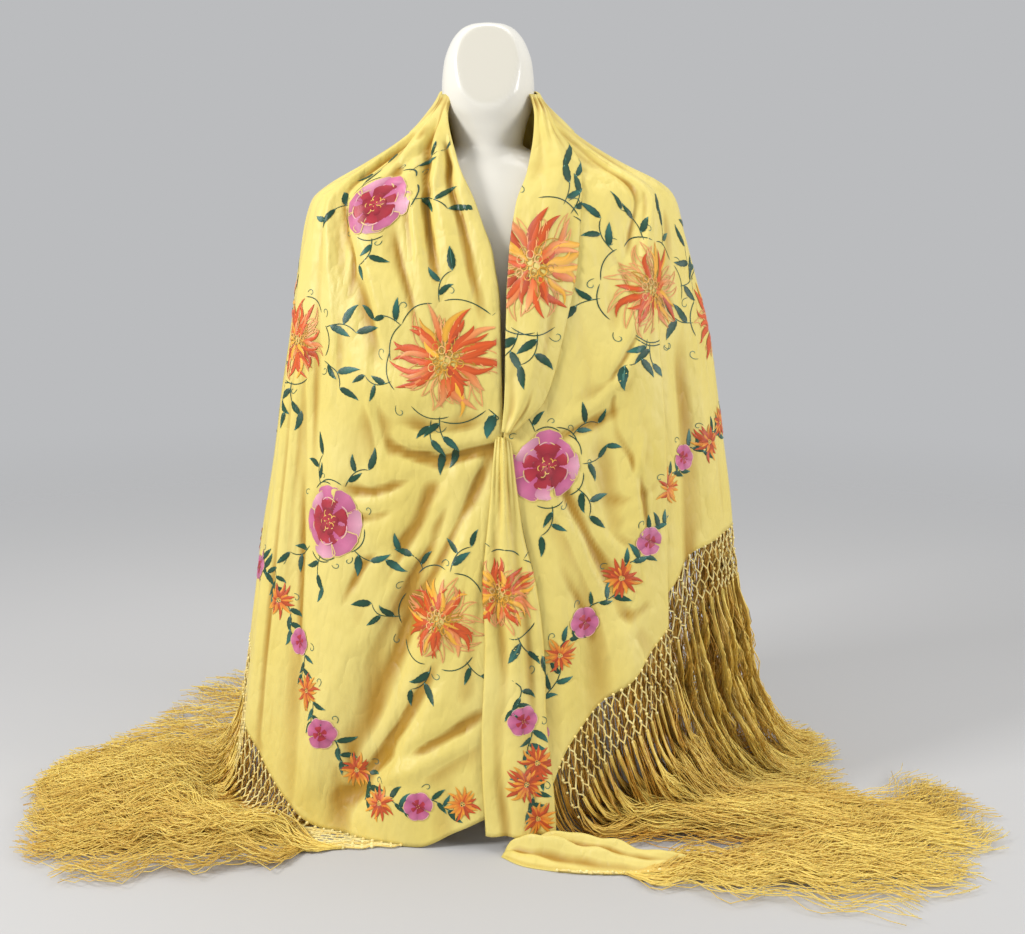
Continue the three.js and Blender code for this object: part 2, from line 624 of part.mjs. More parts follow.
add(tipFringe.name, fringe(tipFringe, tipRoot, 10), threads);
add("bust", bust(), plastic);
add("stand_pole", turned(poleProfile, 16), steel);
add("stand_base", turned(baseProfile, 32), steel);

export default parts;
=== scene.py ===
# %% [markdown]
# # A fringed silk shawl on a display bust
# The real object is one square of golden silk crepe, about 1.6 m along a side. It is embroidered
# in floss silk, edged with a knotted net and a long fringe, folded corner to corner and pinned
# round a white bust. This lesson dresses the CAD solids: draped cloth with its creases, then the
# net and the fringe, the embroidery and the bust, each made to lie where the CAD says.

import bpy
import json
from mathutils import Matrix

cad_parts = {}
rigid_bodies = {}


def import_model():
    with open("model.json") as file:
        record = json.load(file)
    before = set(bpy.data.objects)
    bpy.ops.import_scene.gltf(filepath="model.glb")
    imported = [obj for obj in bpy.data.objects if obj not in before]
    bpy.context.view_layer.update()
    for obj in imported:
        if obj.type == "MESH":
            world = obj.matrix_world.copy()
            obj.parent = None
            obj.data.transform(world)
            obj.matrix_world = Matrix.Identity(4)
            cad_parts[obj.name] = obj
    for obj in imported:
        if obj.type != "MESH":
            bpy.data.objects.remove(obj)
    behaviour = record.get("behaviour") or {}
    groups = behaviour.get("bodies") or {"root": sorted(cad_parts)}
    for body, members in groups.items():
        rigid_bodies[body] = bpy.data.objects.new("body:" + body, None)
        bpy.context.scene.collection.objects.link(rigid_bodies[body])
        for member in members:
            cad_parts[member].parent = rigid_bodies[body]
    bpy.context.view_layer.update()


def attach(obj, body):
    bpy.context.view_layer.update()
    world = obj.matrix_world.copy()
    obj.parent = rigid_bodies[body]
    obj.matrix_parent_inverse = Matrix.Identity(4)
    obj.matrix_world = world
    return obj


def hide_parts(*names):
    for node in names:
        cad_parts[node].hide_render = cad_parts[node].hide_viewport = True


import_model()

# %% Modules and the one source of chance
import json
import math

import bmesh
import bpy
import numpy as np
from mathutils import Vector

chance = np.random.default_rng(1907)
MILLIMETRE = 0.001  # shapes are worked out in millimetres, and meshes are in metres


# %% Colours, unit vectors, meshes and objects
def colour(hexadecimal):
    """A colour as seen on a screen, as the linear values a shader uses."""
    value = [int(hexadecimal[i:i + 2], 16) / 255 for i in (0, 2, 4)]
    return [c / 12.92 if c <= 0.04045 else ((c + 0.055) / 1.055) ** 2.4 for c in value] + [1.0]


def unit(vectors):
    """The same vectors with a length of one."""
    return vectors / np.maximum(1e-9, np.linalg.norm(vectors, axis=-1, keepdims=True))


def mesh_of(name, bm):
    """A mesh with what a bmesh holds."""
    mesh = bpy.data.meshes.new(name)
    bm.to_mesh(mesh)
    bm.free()
    return mesh


def linked(name, data):
    """A new object in the scene."""
    made = bpy.data.objects.new(name, data)
    bpy.context.scene.collection.objects.link(made)
    return made


def coordinates(mesh):
    """Where a mesh's vertices are, one row for each."""
    flat = np.empty(len(mesh.vertices) * 3)
    mesh.vertices.foreach_get("co", flat)
    return flat.reshape(-1, 3)


# %% [markdown]
# ## Reading tables of sizes
# A draped cloth has no simple formula. It is described by level sections, fifteen of them from
# neck to floor, and everything between is read off a smooth curve that never overshoots. The
# tables of the hanging cloth are those of the CAD source, so the dressed cloth lies on its solids.

# %% Tables and smooth steps
def table(names, *rows):
    """Columns by name, from rows of numbers."""
    return {name: np.array([row[i] for row in rows], float) for i, name in enumerate(names.split())}


def read(columns, key, name, at):
    """One column at a key, on a smooth curve through its rows."""
    keys, values = columns[key], columns[name]
    if keys[0] > keys[-1]:
        keys, values = keys[::-1], values[::-1]
    slope = np.diff(values) / np.diff(keys)
    tangent = np.concatenate([slope[:1], np.zeros(len(keys) - 2), slope[-1:]])
    same_way = slope[:-1] * slope[1:] > 0
    total = np.where(same_way, slope[:-1] + slope[1:], 1)
    tangent[1:-1] = np.where(same_way, 2 * slope[:-1] * slope[1:] / total, 0)
    at = np.clip(np.asarray(at, float), keys[0], keys[-1])
    i = np.clip(np.searchsorted(keys, at) - 1, 0, len(keys) - 2)
    span = keys[i + 1] - keys[i]
    w = (at - keys[i]) / span
    start = (2 * w**3 - 3 * w**2 + 1) * values[i] + (w**3 - 2 * w**2 + w) * span * tangent[i]
    end = (3 * w**2 - 2 * w**3) * values[i + 1] + (w**3 - w**2) * span * tangent[i + 1]
    return start + end


def smooth(t):
    """0 to 1 with soft ends."""
    t = np.clip(t, 0, 1)
    return t * t * (3 - 2 * t)


def mix(a, b, t):
    return a + (b - a) * t


# %% The sections of the draped cloth, its opening and its hem
cloth_sections = table(
    "z left right front back power",
    (1100, 78, 80, 66, 84, 2), (1070, 82, 88, 72, 88, 2), (1030, 118, 130, 84, 98, 2.05),
    (985, 186, 200, 100, 112, 2.2), (950, 246, 268, 116, 121, 2.4), (930, 268, 284, 124, 125, 2.5),
    (866, 286, 303, 148, 133, 2.5), (790, 299, 320, 172, 141, 2.4), (696, 312, 339, 190, 150, 2.3),
    (600, 328, 356, 201, 161, 2.2), (520, 341, 368, 213, 172, 2.1), (405, 361, 381, 234, 192, 2),
    (288, 380, 389, 255, 215, 2), (135, 403, 396, 284, 246, 2), (0, 426, 400, 312, 274, 2),
)
opening_edges = table(
    "z left right",
    (1100, -60, 66), (1066, -64, 70), (990, -48, 64), (933, -26, 44), (860, -4, 33), (792, 12, 28),
    (700, 15, 28), (598, 18, 24), (480, 10, 20), (300, 2, 24), (0, 2, 36),
)
front_hem = table(
    "azimuth z",
    (0, 24), (8, 36), (13, 74), (18, 142), (25, 194), (33, 238), (38, 274), (44, 308),
)
back_hem = table(
    "azimuth z",
    (34, 300), (44, 342), (58, 402), (84, 424), (108, 438), (130, 350), (160, 160), (186, 30),
    (196, 32), (222, 140), (248, 232), (270, 218), (286, 150), (300, 84), (314, 26), (326, 1.4),
    (346, 1.4), (354, 26), (360, 46),
)
pleat_line = table(
    "z azimuth", (1100, 68), (1030, 64), (930, 54), (800, 46), (300, 43),
)

# %% The folds that run down the cloth
# Each has a top and a foot, the azimuths there, a width in degrees and a depth.
folds = np.array([
    (850, 260, 57, 55, 10, -15), (1040, 780, 66, 40, 9, 8), (1050, 800, 78, 55, 8, -6),
    (700, 120, 30, 24, 8, -9), (600, 100, 20, 38, 8, 8), (930, 330, 84, 82, 9, 9),
    (900, 330, 100, 99, 9, -12), (980, 300, 118, 117, 11, 13), (960, 240, 138, 136, 10, -13),
    (1000, 120, 156, 154, 10, 15), (990, 60, 174, 172, 9, -14), (1000, 30, 190, 190, 9, 15),
    (990, 60, 207, 209, 9, -14), (980, 120, 224, 227, 11, 14), (950, 200, 243, 245, 10, -12),
    (930, 200, 260, 261, 9, 10), (920, 120, 277, 277, 8, -9), (915, 60, 291, 293, 7, 10),
    (1070, 840, 293, 318, 10, -9), (1070, 800, 308, 333, 9, 9), (900, 90, 304, 310, 8, -7),
    (780, 20, 320, 322, 9, 7), (610, 60, 352, 328, 11, -22), (590, 90, 354, 345, 9, 9),
])
fold_fade = 140  # a fold dies away over this height below its foot
pouch = {"z": 664, "azimuth": 342, "high": 64, "wide": 22, "depth": 16}


def apart(azimuth, other):
    """Degrees from one azimuth to another, the short way round."""
    return (azimuth - other + 180) % 360 - 180


def fold_depth(azimuth, z):
    """How far the folds carry the cloth out."""
    out = np.zeros(np.broadcast(azimuth, z).shape)
    for top, foot, top_azimuth, foot_azimuth, width, depth in folds:
        down = (top - z) / (top - foot)
        across = apart(azimuth, mix(top_azimuth, foot_azimuth, down)) / width
        near = (down >= 0) & (z >= foot - fold_fade) & (np.abs(across) <= 1)
        shape = smooth(down / 0.35) * smooth((z - foot + fold_fade) / fold_fade)
        out += np.where(near, depth * shape * np.cos(across * np.pi / 2) ** 2, 0)
    across = apart(azimuth, pouch["azimuth"]) / pouch["wide"]
    bag = across**2 + ((z - pouch["z"]) / pouch["high"]) ** 2
    return out + pouch["depth"] * np.exp(-2 * bag)


def on_section(sections, azimuth, z):
    """A point of a squared ellipse at a height, and which way is out there."""
    s, c = np.sin(np.radians(azimuth)), np.cos(np.radians(azimuth))
    wide = np.where(s < 0, read(sections, "z", "left", z), read(sections, "z", "right", z))
    deep = np.where(c < 0, read(sections, "z", "back", z), read(sections, "z", "front", z))
    power = 2 / read(sections, "z", "power", z)
    x = wide * np.sign(s) * np.abs(s) ** power
    y = -deep * np.sign(c) * np.abs(c) ** power
    return x, y, unit(np.stack([x / wide**2, y / deep**2], -1))


collar_lean, collar_bend, collar_rise = 7.0, 1056, 30  # the collar closes in on the neck at its top


def cloth_point(azimuth, z, stand=0.0):
    """The middle of the cloth at an azimuth and a height, moved out by stand."""
    azimuth, z = np.broadcast_arrays(np.asarray(azimuth, float), np.asarray(z, float))
    x, y, way = on_section(cloth_sections, azimuth, z)
    out = fold_depth(azimuth, z) + stand - collar_lean * smooth((z - collar_bend) / collar_rise)
    return np.stack([x + out * way[..., 0], y + out * way[..., 1], z], -1)


def front_azimuth(x, z):
    """The azimuth at which the cloth stands x to the right of the middle, at the front."""
    sides = read(cloth_sections, "z", "left", z), read(cloth_sections, "z", "right", z)
    wide = np.where(x < 0, *sides)
    share = np.minimum(1, np.abs(x) / wide) ** (read(cloth_sections, "z", "power", z) / 2)
    return np.degrees(np.arcsin(np.sign(x) * share))


# %% [markdown]
# ## The creases
# Real silk never hangs as evenly as a formula. The main creases are listed one by one: each is a path
# over the cloth with a depth and a soft width on either side. A narrow side against a wide one makes
# the lip of a pleat. The hidden sides get creases of the same kind, a little uneven too.

# %% Paths of the creases: depth, width before and after, then azimuth, height and strength
creases = [
    # pleats that fall from the left of the neck: a hollow, and the lip that hangs over it
    (-13, 8, 14, [(306, 1066, 0), (318, 1022, 0.8), (334, 986, 1), (344.6, 943, 1), (347.4, 881, 1),
                  (349, 850, 0.5), (350, 815, 0)]),
    (8, 16, 5, [(296, 1066, 0.3), (303, 1022, 0.9), (328, 975, 1), (341, 930, 1), (344, 870, 0.9),
                (345, 820, 0.4), (346, 770, 0)]),
    (-12, 7, 12, [(332, 1026, 0), (339, 1002, 0.6), (345.5, 982, 1), (353.5, 934, 1), (355.6, 902, 0.8),
                  (357.5, 850, 0.5), (359, 793, 0.3), (360, 740, 0)]),
    (7, 9, 5, [(316, 1056, 0), (325, 1020, 0.7), (338, 994, 1), (349.5, 926, 1), (352.5, 866, 0.8),
               (354, 830, 0.3), (355, 780, 0)]),
    (6, 6, 8, [(344, 1006, 0), (349, 985, 0.6), (353.5, 965, 1), (359, 883, 0.8), (361, 800, 0.5),
               (362, 740, 0)]),
    (5, 14, 8, [(286, 1060, 0.5), (291, 1000, 1), (300, 940, 0.9), (308, 860, 0.5), (312, 790, 0)]),
    (-6, 10, 10, [(290, 1055, 0.4), (297, 1000, 1), (310, 930, 0.8), (320, 860, 0.4), (325, 800, 0)]),
    (-5, 8, 12, [(335, 900, 0), (339, 850, 0.8), (342, 800, 0.7), (344, 750, 0)]),
    (4, 8, 12, [(322, 900, 0), (329, 840, 0.8), (333, 780, 0.9), (335, 700, 0)]),
    # the pouch over the clasp and the hollow below it
    (5, 16, 20, [(338, 606, 0), (344, 590, 0.8), (352, 584, 1), (360, 596, 0.6)]),
    (-9, 13, 16, [(334, 588, 0), (342, 568, 0.8), (351, 562, 1), (361, 582, 0.7)]),
    (-7, 26, 12, [(362, 590, 0.5), (357, 520, 1), (350, 430, 0.9), (341, 320, 0.7), (335, 220, 0)]),
    (6, 15, 22, [(356, 560, 0), (349, 500, 0.7), (342, 420, 1), (334, 330, 0.8), (327, 240, 0)]),
    (4, 10, 14, [(361, 540, 0.2), (359, 440, 1), (356, 350, 0.8), (354, 260, 0)]),
    # small crushed creases on both fronts
    (-6, 10, 13, [(346, 548, 0), (339, 524, 0.8), (331, 508, 1), (322, 514, 0.3)]),
    (-5, 9, 11, [(342, 498, 0), (333, 476, 0.9), (324, 468, 0.4)]),
    (5, 9, 9, [(350, 468, 0), (344, 430, 0.8), (338, 395, 0.2)]),
    (-5, 8, 10, [(336, 438, 0), (329, 400, 1), (325, 355, 0.6), (323, 320, 0)]),
    (-5, 9, 11, [(28, 620, 0), (34, 560, 0.8), (37, 500, 0.9), (38, 440, 0.2)]),
    (5, 9, 10, [(22, 470, 0), (29, 430, 0.8), (36, 405, 0.3)]),
    (-4, 8, 9, [(15, 420, 0), (20, 360, 0.9), (24, 300, 0.4)]),
    (-4, 8, 9, [(30, 880, 0), (36, 820, 0.9), (40, 760, 0.2)]),
    (-4, 8, 9, [(318, 900, 0), (322, 850, 0.9), (320, 790, 0.3)]),
    # creases low on the left front
    (-13, 34, 24, [(352, 330, 0), (347, 250, 0.7), (341, 170, 1), (335, 105, 0.9), (331, 60, 0.3)]),
    (-6, 9, 14, [(360, 200, 0.3), (354, 172, 1), (347, 146, 1), (338, 116, 0.6), (332, 96, 0)]),
    (5, 12, 12, [(360, 172, 0.2), (352, 140, 0.9), (344, 112, 1), (334, 84, 0.4), (329, 70, 0)]),
    (-5, 8, 10, [(346, 96, 0), (338, 76, 0.9), (330, 58, 0.8), (323, 50, 0)]),
    (4, 8, 14, [(318, 240, 0), (322, 180, 0.9), (326, 120, 0.8), (328, 70, 0.2)]),
    (-4, 12, 7, [(304, 540, 0), (306, 440, 0.8), (309, 330, 0.9), (312, 220, 0)]),
    (3.5, 9, 9, [(328, 700, 0), (331, 640, 0.8), (334, 570, 0.8), (335, 500, 0)]),
    (3, 8, 9, [(312, 820, 0), (315, 740, 1), (316, 660, 0.6), (317, 580, 0)]),
    (-3, 7, 8, [(346, 480, 0), (341, 452, 0.9), (336, 430, 0.8), (330, 412, 0)]),
    (3, 7, 9, [(300, 760, 0), (303, 690, 0.9), (306, 600, 0.8), (308, 520, 0)]),
    # the right front: from the shoulder to the clasp, and crushed lines below it
    (-4, 10, 8, [(58, 1030, 0.4), (50, 960, 1), (41, 890, 0.8), (33, 820, 0)]),
    (4, 12, 8, [(62, 985, 0.4), (53, 930, 1), (45, 870, 0.8), (38, 800, 0)]),
    (-3.5, 9, 8, [(44, 800, 0), (36, 730, 0.9), (28, 670, 0.9), (19, 620, 0)]),
    (4, 9, 12, [(40, 740, 0), (32, 680, 0.9), (23, 636, 1), (14, 606, 0.3)]),
    (-4, 8, 9, [(34, 640, 0), (26, 618, 1), (17, 600, 0.9), (9, 590, 0.2)]),
    (5, 9, 14, [(8, 580, 0.4), (14, 520, 1), (21, 440, 0.9), (27, 340, 0.6), (30, 250, 0)]),
    (-5, 26, 22, [(12, 560, 0), (19, 490, 0.9), (27, 400, 1), (33, 310, 0.6), (36, 260, 0)]),
    (3.5, 8, 8, [(38, 600, 0), (35, 540, 0.9), (36, 460, 0.8), (38, 380, 0)]),
    (-3, 6, 8, [(42, 520, 0), (37, 505, 1), (31, 498, 0.9), (26, 500, 0)]),
    (3, 7, 7, [(40, 470, 0), (34, 455, 1), (28, 452, 0)]),
    (-3, 7, 7, [(40, 350, 0), (35, 335, 1), (31, 330, 0.8), (27, 338, 0)]),
    (2.5, 6, 7, [(36, 320, 0), (31, 302, 1), (27, 296, 0)]),
    (-3, 7, 8, [(30, 700, 0), (29, 640, 0.8), (31, 590, 0)]),
    # the right side, behind the fold
    (-6, 10, 12, [(66, 860, 0), (63, 740, 0.9), (62, 600, 1), (62, 430, 0.8)]),
    (5, 9, 12, [(74, 900, 0), (72, 780, 0.9), (72, 640, 1), (71, 440, 0.9)]),
    (-5, 12, 9, [(92, 920, 0), (91, 780, 0.9), (91, 600, 0.9), (92, 440, 0.9)]),
    (4, 9, 9, [(86, 1000, 0.3), (88, 930, 0.9), (92, 840, 0.7), (95, 740, 0)]),
    # the back
    (6, 14, 10, [(126, 1040, 0.2), (128, 900, 1), (127, 700, 0.9), (126, 480, 0.8), (126, 380, 0.5)]),
    (-5, 9, 12, [(146, 1050, 0.2), (147, 900, 1), (146, 680, 0.8), (144, 430, 0.9), (143, 290, 0.6)]),
    (5, 11, 9, [(165, 1060, 0.3), (165, 880, 0.9), (163, 620, 1), (163, 360, 0.8), (162, 160, 0.5)]),
    (-6, 10, 14, [(182, 1055, 0.2), (182, 860, 0.8), (181, 600, 1), (180, 330, 1), (179, 80, 0.6)]),
    (5, 13, 9, [(199, 1060, 0.3), (198, 880, 1), (199, 640, 0.8), (200, 360, 1), (201, 80, 0.6)]),
    (-5, 9, 11, [(216, 1050, 0.2), (217, 850, 0.9), (219, 600, 0.9), (220, 330, 0.8), (221, 170, 0.5)]),
    (6, 10, 14, [(236, 1030, 0.2), (236, 870, 1), (238, 640, 0.8), (239, 420, 0.9), (240, 250, 0.5)]),
    (-4, 9, 9, [(252, 1000, 0), (253, 850, 0.9), (254, 640, 0.9), (255, 440, 0.8), (256, 260, 0.4)]),
    (4, 8, 10, [(267, 960, 0), (268, 820, 0.9), (269, 600, 0.8), (270, 400, 0.9), (270, 250, 0.4)]),
    (4, 9, 9, [(150, 1010, 0), (158, 985, 0.8), (170, 975, 0.9), (183, 985, 0)]),
    (-3.5, 8, 9, [(192, 990, 0), (203, 968, 0.9), (214, 965, 0.7), (224, 975, 0)]),
    # the left side
    (-5, 10, 9, [(283, 900, 0), (284, 760, 0.9), (285, 560, 0.9), (286, 330, 0.8), (287, 180, 0.5)]),
    (5, 9, 12, [(296, 800, 0), (298, 640, 0.8), (299, 460, 0.9), (300, 280, 0.8), (301, 110, 0.4)]),
]
crease_depth = 1.3  # all of them are worked in this much deeper than the table says
print("creases", len(creases))


def relief(points, ways, azimuth):
    """How far the listed creases move points of the cloth out."""
    out = np.zeros(len(points))
    for depth, before, after, path in creases:
        path = np.array(path, float)
        steps = np.linspace(0, len(path) - 1, 5 * len(path))
        line = [np.interp(steps, np.arange(len(path)), path[:, i]) for i in range(3)]
        spine = cloth_point(line[0], line[1])
        wide = max(before, after)
        near = np.all((points > spine.min(0) - wide) & (points < spine.max(0) + wide), axis=1)
        near &= np.abs(azimuth - np.mean(line[0])) < 120
        if not near.any():
            continue
        p, leg = points[near][:, None, :], np.diff(spine, axis=0)
        share = np.clip(((p - spine[:-1]) * leg).sum(-1) / (leg**2).sum(-1), 0, 1)
        off = p - spine[:-1] - share[..., None] * leg
        far = np.linalg.norm(off, axis=-1)
        k = far.argmin(1)
        row = np.arange(len(k))
        side = (np.cross(leg[k], ways[near]) * off[row, k]).sum(-1)
        reach = np.where(side < 0, before, after)
        strength = np.interp(k + share[row, k], np.arange(len(steps)), line[2])
        bell = np.cos(np.clip(far[row, k] / reach, 0, 1) * np.pi / 2) ** 2
        out[near] += crease_depth * depth * strength * bell
    return out


# %% [markdown]
# ## Draping a panel
# Each stretch of cloth starts as a flat grid, as it left the loom, and every point of the grid is
# carried to its place in the drape. The panel keeps its grid of places afterwards, so that the
# embroidery can later be laid on exactly the same cloth. A narrow band along a free edge turns
# under, as a folded edge does.

# %% Grids, and panels that remember where their cloth lies
def flat_grid(columns, rows):
    """A flat grid of faces as a mesh with a UV map, and the u and v of its vertices."""
    bm = bmesh.new()
    bm.loops.layers.uv.new("cloth")
    bmesh.ops.create_grid(bm, x_segments=columns, y_segments=rows, size=0.5, calc_uvs=True)
    mesh = mesh_of("grid", bm)
    return mesh, coordinates(mesh)[:, :2] + 0.5


class Panel:
    """A stretch of draped cloth: its mesh, and its places and outward ways on a grid."""

    def __init__(self, name, columns, rows, places, deepest=2.2):
        mesh, uv = flat_grid(columns, rows)
        self.points = places(uv[:, 0], uv[:, 1]).reshape(rows + 1, columns + 1, 3)
        for grid in (self.points, self.points.transpose(1, 0, 2)):  # evens out the grid's own steps
            grid[1:-1] = 0.5 * grid[1:-1] + 0.25 * (grid[:-2] + grid[2:])
        along, up = np.gradient(self.points, axis=1), np.gradient(self.points, axis=0)
        self.ways = unit(np.cross(along, up))
        mesh.vertices.foreach_set("co", (self.points * MILLIMETRE).ravel())
        # painted shade: how deep each point lies in a crease, which darkens the silk's colour there
        crease_shade = mesh.attributes.new("crease_shade", "FLOAT", "POINT")
        crease_shade.data.foreach_set("value", self.crease_shading(deepest).ravel())
        mesh.update()
        self.object = linked(name, mesh)
        print(name, len(mesh.polygons), "faces")

    def crease_shading(self, deepest, reach=4):
        """How far each point lies below the middle of its neighbours, as painted shade that darkens the silk
        there.
        """
        around = self.points
        for axis in (0, 1):
            pad = [(reach, reach) if i == axis else (0, 0) for i in range(3)]
            wide = np.pad(around, pad, mode="reflect", reflect_type="odd")
            index = np.arange(self.points.shape[axis])
            spans = [np.take(wide, index + k, axis) for k in range(2 * reach + 1)]
            around = np.mean(spans, axis=0)
        return np.clip(((around - self.points) * self.ways).sum(-1) / deepest, -1, 1)

    def at(self, u, v, lift=0.0):
        """Places on the cloth, or above it by lift, for arrays of u and v."""
        rows, columns = self.points.shape[0] - 1, self.points.shape[1] - 1
        x, y = np.clip(u, 0, 1) * columns, np.clip(v, 0, 1) * rows
        i, j = np.minimum(x.astype(int), columns - 1), np.minimum(y.astype(int), rows - 1)
        s, t = (x - i)[..., None], (y - j)[..., None]

        def blend(grid):
            low = mix(grid[j, i], grid[j, i + 1], s)
            high = mix(grid[j + 1, i], grid[j + 1, i + 1], s)
            return mix(low, high, t)

        return blend(self.points) + blend(self.ways) * np.asarray(lift)[..., None]


# %% Where the three panels that hang from the collar begin and end
collar_top = 1086.0
pleat_overlap, pleat_stand, pleat_top, pleat_rise = 9.0, 11.0, 800.0, 130.0
left_seam = 272.0
joint, joint_sink = 3.0, 1.6  # two panels of the same cloth overlap and dive under each other
turned = 0.035  # share of a panel's width that turns under along a folded edge
turn_radius = 2.6


def pleat(z):
    return read(pleat_line, "z", "azimuth", z)


def above_pleat(z):
    return smooth((z - pleat_top + pleat_rise) / pleat_rise)


def right_front_stand(azimuth, u, z):
    lifted = pleat_stand * smooth((u - 0.45) / 0.35) * smooth((pleat_top - z) / pleat_rise)
    return lifted - joint_sink * above_pleat(z) * smooth((azimuth - pleat(z)) / joint + 0.5)


def back_stand(azimuth, u, z):
    at_pleat = smooth((pleat(z) - azimuth) / joint + 0.5) * above_pleat(z)
    under = 9 * smooth((pleat(z) + 8 - azimuth) / 8) * (1 - above_pleat(z))
    return -under - joint_sink * (at_pleat + smooth((azimuth - left_seam) / joint + 0.5))


def left_front_stand(azimuth, u, z):
    return -joint_sink * smooth((left_seam - azimuth) / joint + 0.5)


hanging = {
    "front_right": {
        "hem": front_hem, "stand": right_front_stand,
        "from": lambda z: front_azimuth(read(opening_edges, "z", "right", z), z),
        "to": lambda z: pleat(z) + joint * above_pleat(z),
    },
    "back": {
        "hem": back_hem, "stand": back_stand,
        "from": lambda z: pleat(z) - mix(pleat_overlap, joint, above_pleat(z)),
        "to": lambda z: left_seam + joint + 0 * z,
    },
    "front_left": {
        "hem": back_hem, "stand": left_front_stand,
        "from": lambda z: left_seam - joint + 0 * z,
        "to": lambda z: front_azimuth(read(opening_edges, "z", "left", z), z) + 360,
    },
}


# %% The three panels
def drape(panel, turns):
    """Carries the u and v of a flat grid to the panel's place in the drape."""
    before, after = turned * turns[0], turned * turns[1]

    def places(grid_u, v):
        u = np.clip((grid_u - before) / (1 - before - after), 0, 1)
        under = np.pi * np.clip((grid_u - 1 + after) / turned, 0, 1) * turns[1]
        hem = read(panel["hem"], "azimuth", "z", mix(panel["from"](0.0), panel["to"](0.0), u))
        z = mix(hem, collar_top, v)
        azimuth = mix(panel["from"](z), panel["to"](z), u)
        x, y, way = on_section(cloth_sections, azimuth, z)
        degree = np.radians(1) * np.hypot(x, y)
        azimuth = azimuth + turn_radius * np.sin(under) / degree
        stand = panel["stand"](azimuth, u, z) - turn_radius * (1 - np.cos(under))
        ways = np.concatenate([way, np.zeros((len(way), 1))], axis=1)
        ripple = 0.9 * np.sin(azimuth * 0.55 + z / 61) + 0.7 * np.sin(azimuth * 0.23 - z / 37 + 1.3)
        ripple *= smooth((1060 - z) / 120)  # smooth silk at the collar
        crease = relief(cloth_point(azimuth, z), ways, azimuth)
        out = stand + (crease + ripple) * smooth(z / 30)
        return cloth_point(azimuth, z, out)

    return places


panels = {
    "front_right": Panel("cloth_front_right", 80, 122, drape(hanging["front_right"], (0, 1))),
    "back": Panel("cloth_back", 106, 86, drape(hanging["back"], (0, 0)), deepest=4.6),
    "front_left": Panel("cloth_front_left", 114, 150, drape(hanging["front_left"], (0, 1))),
}


# %% [markdown]
# ## The folded bands
# The edge of the right front is turned back as a lapel from the neck to the pin. Below the pin a
# strip of gathered folds hangs to the floor. A roll of cloth stands round the back of the neck, and
# the end of the longer front lies heaped on the table. Each is a grid again, carried onto the
# cloth below and lifted off it by its own crown.

# %% The lapel and the strip of folds below the pin
wall = 2.4
right_lapel = table(
    "z inner outer crown",
    (1084, 66, 79, 4), (1040, 67, 98, 8), (975, 58, 138, 12), (930, 42, 137, 13), (848, 31, 131, 13),
    (750, 27, 112, 12), (651, 25, 84, 11), (604, 21, 40, 9),
)
centre_fold = table(
    "z inner outer crown",
    (596, 12, 34, 9), (480, 2, 48, 12), (370, -4, 74, 14), (200, -6, 86, 14), (90, -6, 96, 13),
    (22.5, -4, 98, 11),
)
bands = {"lapel": (right_lapel, 1, wall + 2.0), "centre_fold": (centre_fold, 2, wall + 1.9)}


def lay_band(band, crush, tuck=0.0):
    """A band over the fronts, with its ridges and its own small creases."""
    shape, ridges, clearance = band

    def places(u, v):
        z = mix(shape["z"][-1], shape["z"][0], v)
        x = mix(read(shape, "z", "inner", z), read(shape, "z", "outer", z), u)
        rounded = np.sin(np.pi * np.clip(u, 0, 1)) ** 0.7
        wave = 0.62 + 0.38 * np.cos(2 * np.pi * ridges * (u - 0.5))
        crown = read(shape, "z", "crown", z) * rounded * wave
        x = x + 2.0 * np.sin(z / 41 + 1) * smooth((560 - z) / 120)
        tucked = tuck * smooth((z - shape["z"][0] + 34) / 34)
        return cloth_point(front_azimuth(x, z), z, clearance + crown + crush(u, z) * rounded - tucked)

    return places


def lapel_crush(u, z):
    """Small pleats at the neck, one long crease, and the gathers above the pin."""
    neck = smooth((z - 960) / 90)
    small_pleats = 2.2 * neck * np.cos(2 * np.pi * (3.5 * u - 0.2))
    from_crease = (u - 0.62 + 0.1 * np.sin(z / 70)) / 0.1
    long_crease = -3.0 * np.exp(-from_crease**2) * smooth((960 - z) / 120)
    pinned = 1.8 * smooth((720 - z) / 100) * np.cos(2 * np.pi * (2.6 * u + z / 160))
    return small_pleats + long_crease + pinned + 0.9 * np.sin(z / 23 + 4 * u)


def fold_crush(u, z):
    """Tight gathers under the pin that open into softer folds."""
    gather = 2.4 * smooth((z - 420) / 120) * np.cos(2 * np.pi * 4 * u)
    soft = 2.0 * np.sin(2 * np.pi * (2.4 * u + z / 310)) * smooth((500 - z) / 150)
    return gather + soft + 0.8 * np.sin(z / 19 + 5 * u)


panels["lapel"] = Panel("cloth_lapel", 30, 90, lay_band(bands["lapel"], lapel_crush))
panels["centre_fold"] = Panel("cloth_centre_fold", 42, 90, lay_band(bands["centre_fold"], fold_crush, 9))

# %% The roll round the back of the neck
roll_from, roll_to = 76, 282  # the azimuths where it begins and ends
roll_section = table(
    "v z stand",
    (0, 1034, 5.1), (0.3, 1052, 9), (0.6, 1078, 8), (0.85, 1090.5, 3.6), (1, 1091, -1),
)


def neck_roll(u, v):
    """The roll, with an uneven lower edge, gathers that come and go, and ends that sink in."""
    azimuth = mix(roll_from, roll_to, u)
    uneven = 7 * np.sin(azimuth / 17) + 4 * np.sin(azimuth / 6.3)
    z = read(roll_section, "v", "z", v) + uneven * (1 - v) - (2 + 2 * np.sin(azimuth / 11 + 1)) * v
    stand = read(roll_section, "v", "stand", v)
    gathers = 1.5 * np.sin(azimuth / 3.1 + 2.5 * v) + 1.9 * np.sin(azimuth / 6.1 + 3 * v)
    gathers = gathers + 1.6 * np.sin(azimuth / 23 - 9 * v)
    ends = smooth(np.minimum(u, 1 - u) * 7)
    z = z - 10 * (1 - ends) * v
    return cloth_point(azimuth, z, (stand + gathers * np.sin(np.pi * v)) * ends - 0.8 * (1 - ends))


